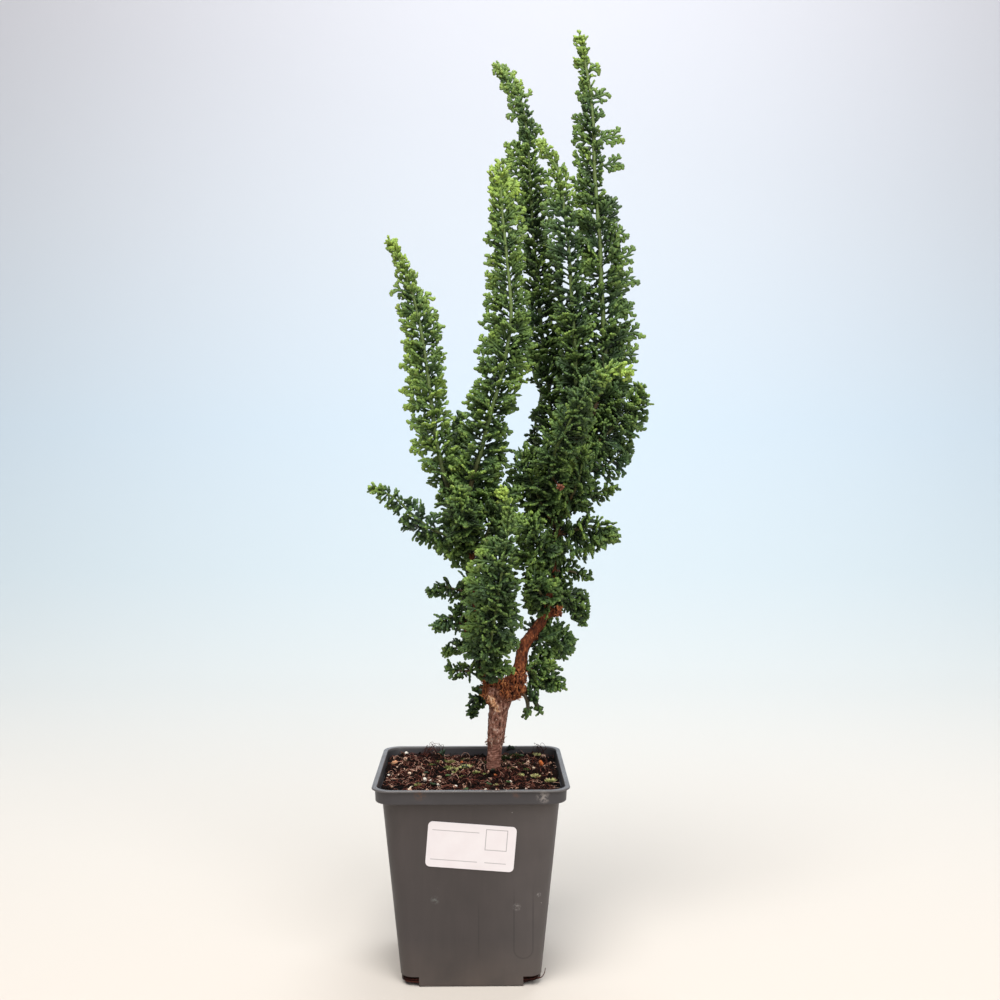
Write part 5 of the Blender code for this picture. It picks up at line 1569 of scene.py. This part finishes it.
def make_fallen_sprigs(look):
    """Dead and living sprigs that have dropped on the soil, among them two that lean on the back wall."""
    draw = random.Random("fallen sprigs")
    branchlets = Branchlets()
    for _ in range(FALLEN_SPRIGS):
        foot = on_soil(*soil_spot(draw), 0.8)
        along = Vector((*flat_way(draw.uniform(0, math.tau)), draw.uniform(0.0, 0.35))).normalized()
        normal = (UP - along * along.z).normalized()
        grow_branchlet(branchlets, draw, foot, along, along, normal, draw.uniform(2.5, 6.0),
                       draw.uniform(-0.1, 0.35))
    for foot, along, length in LEANING_SPRIGS:
        way = Vector(along).normalized()
        normal = (Vector((0, -1, 0)) + way * way.y).normalized()
        grow_branchlet(branchlets, draw, Vector(foot), way, way, normal, length, -0.05)
    points, triangles, values = branchlets.mesh()
    keep_inside(points)
    mesh_piece("fallen_sprigs", points, triangles, look, values)


def make_drain_roots(look):
    """Brown roots packed behind the four drain notches, and a fine one that has crept out of the pot."""
    draw = random.Random("drain roots")
    parts = []
    reach = pot_half(3.0) - POT_WALL - SOIL_GAP
    for side_x, side_y in POT_CORNERS:
        for _ in range(DRAIN_ROOTS):
            low, high = draw.uniform(1.6, 4.8), draw.uniform(1.6, 4.8)
            bulge = draw.uniform(-0.4, 0.7)
            start = Vector((side_x * (NOTCH_HALF_GAP - 1), side_y * (reach + bulge), low))
            corner = reach - 2.0 + bulge
            middle = Vector((side_x * corner, side_y * corner, (low + high) / 2))
            end = Vector((side_x * (reach + bulge), side_y * (NOTCH_HALF_GAP - 1), high))
            path, _ = smooth_curve([start, start.lerp(middle, 0.5) + Vector((0, side_y * 0.4, 0)), middle,
                                    middle.lerp(end, 0.5) + Vector((side_x * 0.4, 0, 0)), end], 1.6)
            root = tube(path, [draw.uniform(0.18, 0.45)] * len(path), 6)
            parts.append(shaded(root, draw.uniform(0.0, 0.5)))
    path, _ = smooth_curve(ESCAPED_ROOT, 1.2)
    root = tube(path, [0.34 - 0.18 * index / len(path) for index in range(len(path))], 5)
    parts.append(shaded(root, 0.35))
    points, triangles, values = joined(parts)
    mesh_piece("drain_roots", points, triangles, look, values)


# Label


def make_label(look):
    """A thin card with round corners, which leans with the pot's front face."""
    lean = math.atan2(POT_HALF_UNDER_BAND - POT_HALF_FOOT, BAND_BOTTOM)
    outline = rounded_rectangle(LABEL_WIDTH / 2, LABEL_HEIGHT / 2, LABEL_CORNER, LABEL_CORNER_STEPS)
    turn = Matrix.Rotation(LABEL_TURN, 4, "Z")
    stand = Matrix.Rotation(math.radians(90) + lean, 4, "X")
    place = Matrix.Translation((0, -pot_half(LABEL_MIDDLE_HEIGHT), LABEL_MIDDLE_HEIGHT))
    onto_pot = place @ stand @ turn
    count = len(outline)
    flat = outline + outline + [(0.0, 0.0), (0.0, 0.0)]
    rises = [0.0] * count + [LABEL_THICKNESS] * count + [0.0, LABEL_THICKNESS]
    points = [onto_pot @ Vector((x, y, LABEL_GAP + rise)) for (x, y), rise in zip(flat, rises)]
    values = {"across": [x for x, _ in flat], "up": [y for _, y in flat]}
    piece = mesh_piece("label_card", points, closed_triangles(2, count), look, values, smooth=False)
    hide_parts("label")


def inked(look, across, up, left, right, low, high):
    """1 inside a rectangle of the label and 0 outside it."""
    inside = look.times(look.number("GREATER_THAN", across, left), look.number("LESS_THAN", across, right))
    level = look.times(look.number("GREATER_THAN", up, low), look.number("LESS_THAN", up, high))
    return look.times(inside, level)


def label_look():
    """Pinkish white card with plain ruled lines and an empty square, and without any lettering."""
    look = Look("label_paper")
    across, up = look.value("across"), look.value("up")
    place = look.place()
    clouds = look.noise(place, 9.0, detail=3.0)
    fibres = look.noise(place, 0.5, detail=2.0)
    colour = look.ramp(clouds, LABEL_PAPER)
    half = LABEL_LINE_WIDTH / 2
    for left, right, height in LABEL_LINES:
        line = inked(look, across, up, left, right, height - half, height + half)
        colour = look.mix(look.times(line, 0.55), colour, LABEL_INK)
    left, right, low, high = LABEL_SQUARE
    outer = inked(look, across, up, left, right, low, high)
    inner = inked(look, across, up, left + LABEL_LINE_WIDTH, right - LABEL_LINE_WIDTH, low + LABEL_LINE_WIDTH,
                  high - LABEL_LINE_WIDTH)
    colour = look.mix(look.times(look.minus(outer, inner), 0.6), colour, LABEL_INK)
    look.surface(Base_Color=colour, Roughness=look.span(fibres, 0.3, 0.7, 0.45, 0.6))
    look.bump(fibres, 0.05, 0.3)
    return look.made


# Stage, light and camera


def make_stage():
    """A plain pale floor that turns up into a backdrop far behind."""
    look = Look("stage")
    axes = look.axes(look.place())
    onward = look.plus(axes["Y"], axes["Z"])
    look.surface(Base_Color=look.ramp(look.span(onward, -0.5, 4.0), STAGE_COLOURS), Roughness=0.9)
    profile = [(FLOOR_NEAR_EDGE, 0.0), (FLOOR_TURNS_AT, 0.0)]
    profile += [(FLOOR_TURNS_AT + FLOOR_RADIUS * math.sin(angle), FLOOR_RADIUS * (1 - math.cos(angle)))
                for angle in (math.pi / 2 * (index + 1) / FLOOR_STEPS for index in range(FLOOR_STEPS))]
    profile.append((FLOOR_TURNS_AT + FLOOR_RADIUS, BACKDROP_HEIGHT))
    points = [(x, y, z - FLOOR_BELOW) for x in (-FLOOR_HALF_WIDTH, FLOOR_HALF_WIDTH) for y, z in profile]
    count = len(profile)
    faces = [(index, index + count, index + count + 1, index + 1) for index in range(count - 1)]
    floor = scratch_object("floor", points, faces)
    floor.data.shade_smooth()
    floor.data.materials.append(look.made)


def area_light(name, at, toward, size, power, colour):
    data = bpy.data.lights.new(name, "AREA")
    data.energy = power
    data.color = colour
    data.shape = "DISK"
    data.size = size
    lamp = linked(name, data)
    lamp.location = at
    lamp.rotation_euler = (Vector(toward) - Vector(at)).to_track_quat("-Z", "Y").to_euler()


def make_light():
    for lamp in LAMPS:
        area_light(*lamp)
    world = bpy.data.worlds.new("world")
    bpy.context.scene.world = world
    world.use_nodes = True
    background = world.node_tree.nodes["Background"]
    background.inputs["Color"].default_value = WORLD_COLOUR
    background.inputs["Strength"].default_value = WORLD_STRENGTH
    bpy.context.scene.view_settings.view_transform = "Standard"


def make_camera():
    data = bpy.data.cameras.new("camera")
    data.lens = CAMERA_LENS
    data.sensor_width = SENSOR_WIDTH
    camera = linked("camera", data)
    camera.location = Vector(CAMERA_AT) * MM
    camera.rotation_euler = (CAMERA_PITCH, 0.0, CAMERA_YAW)
    bpy.context.scene.camera = camera


def main():
    noise.seed_set(NOISE_SEED)
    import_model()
    make_camera()
    make_light()
    make_stage()
    leaf = foliage_look()
    for shoot in SHOOTS:
        grow_shoot(shoot, leaf)
    scraps = scrap_look()
    make_bark_scraps(scraps, *make_wood(wood_look()))
    make_dead_twig(scraps)
    make_pot(pot_look())
    make_label(label_look())
    make_soil(soil_look())
    make_crumbs(scatter_look("crumbs", CRUMB_COLOURS))
    make_soil_fibres(scatter_look("soil_fibres", FIBRE_COLOURS))
    make_drain_roots(scatter_look("drain_roots", FIBRE_COLOURS))
    make_bits(scatter_look("soil_bits", BIT_COLOURS))
    make_moss(scatter_look("moss", MOSS_COLOURS))
    make_fallen_sprigs(leaf)


main()
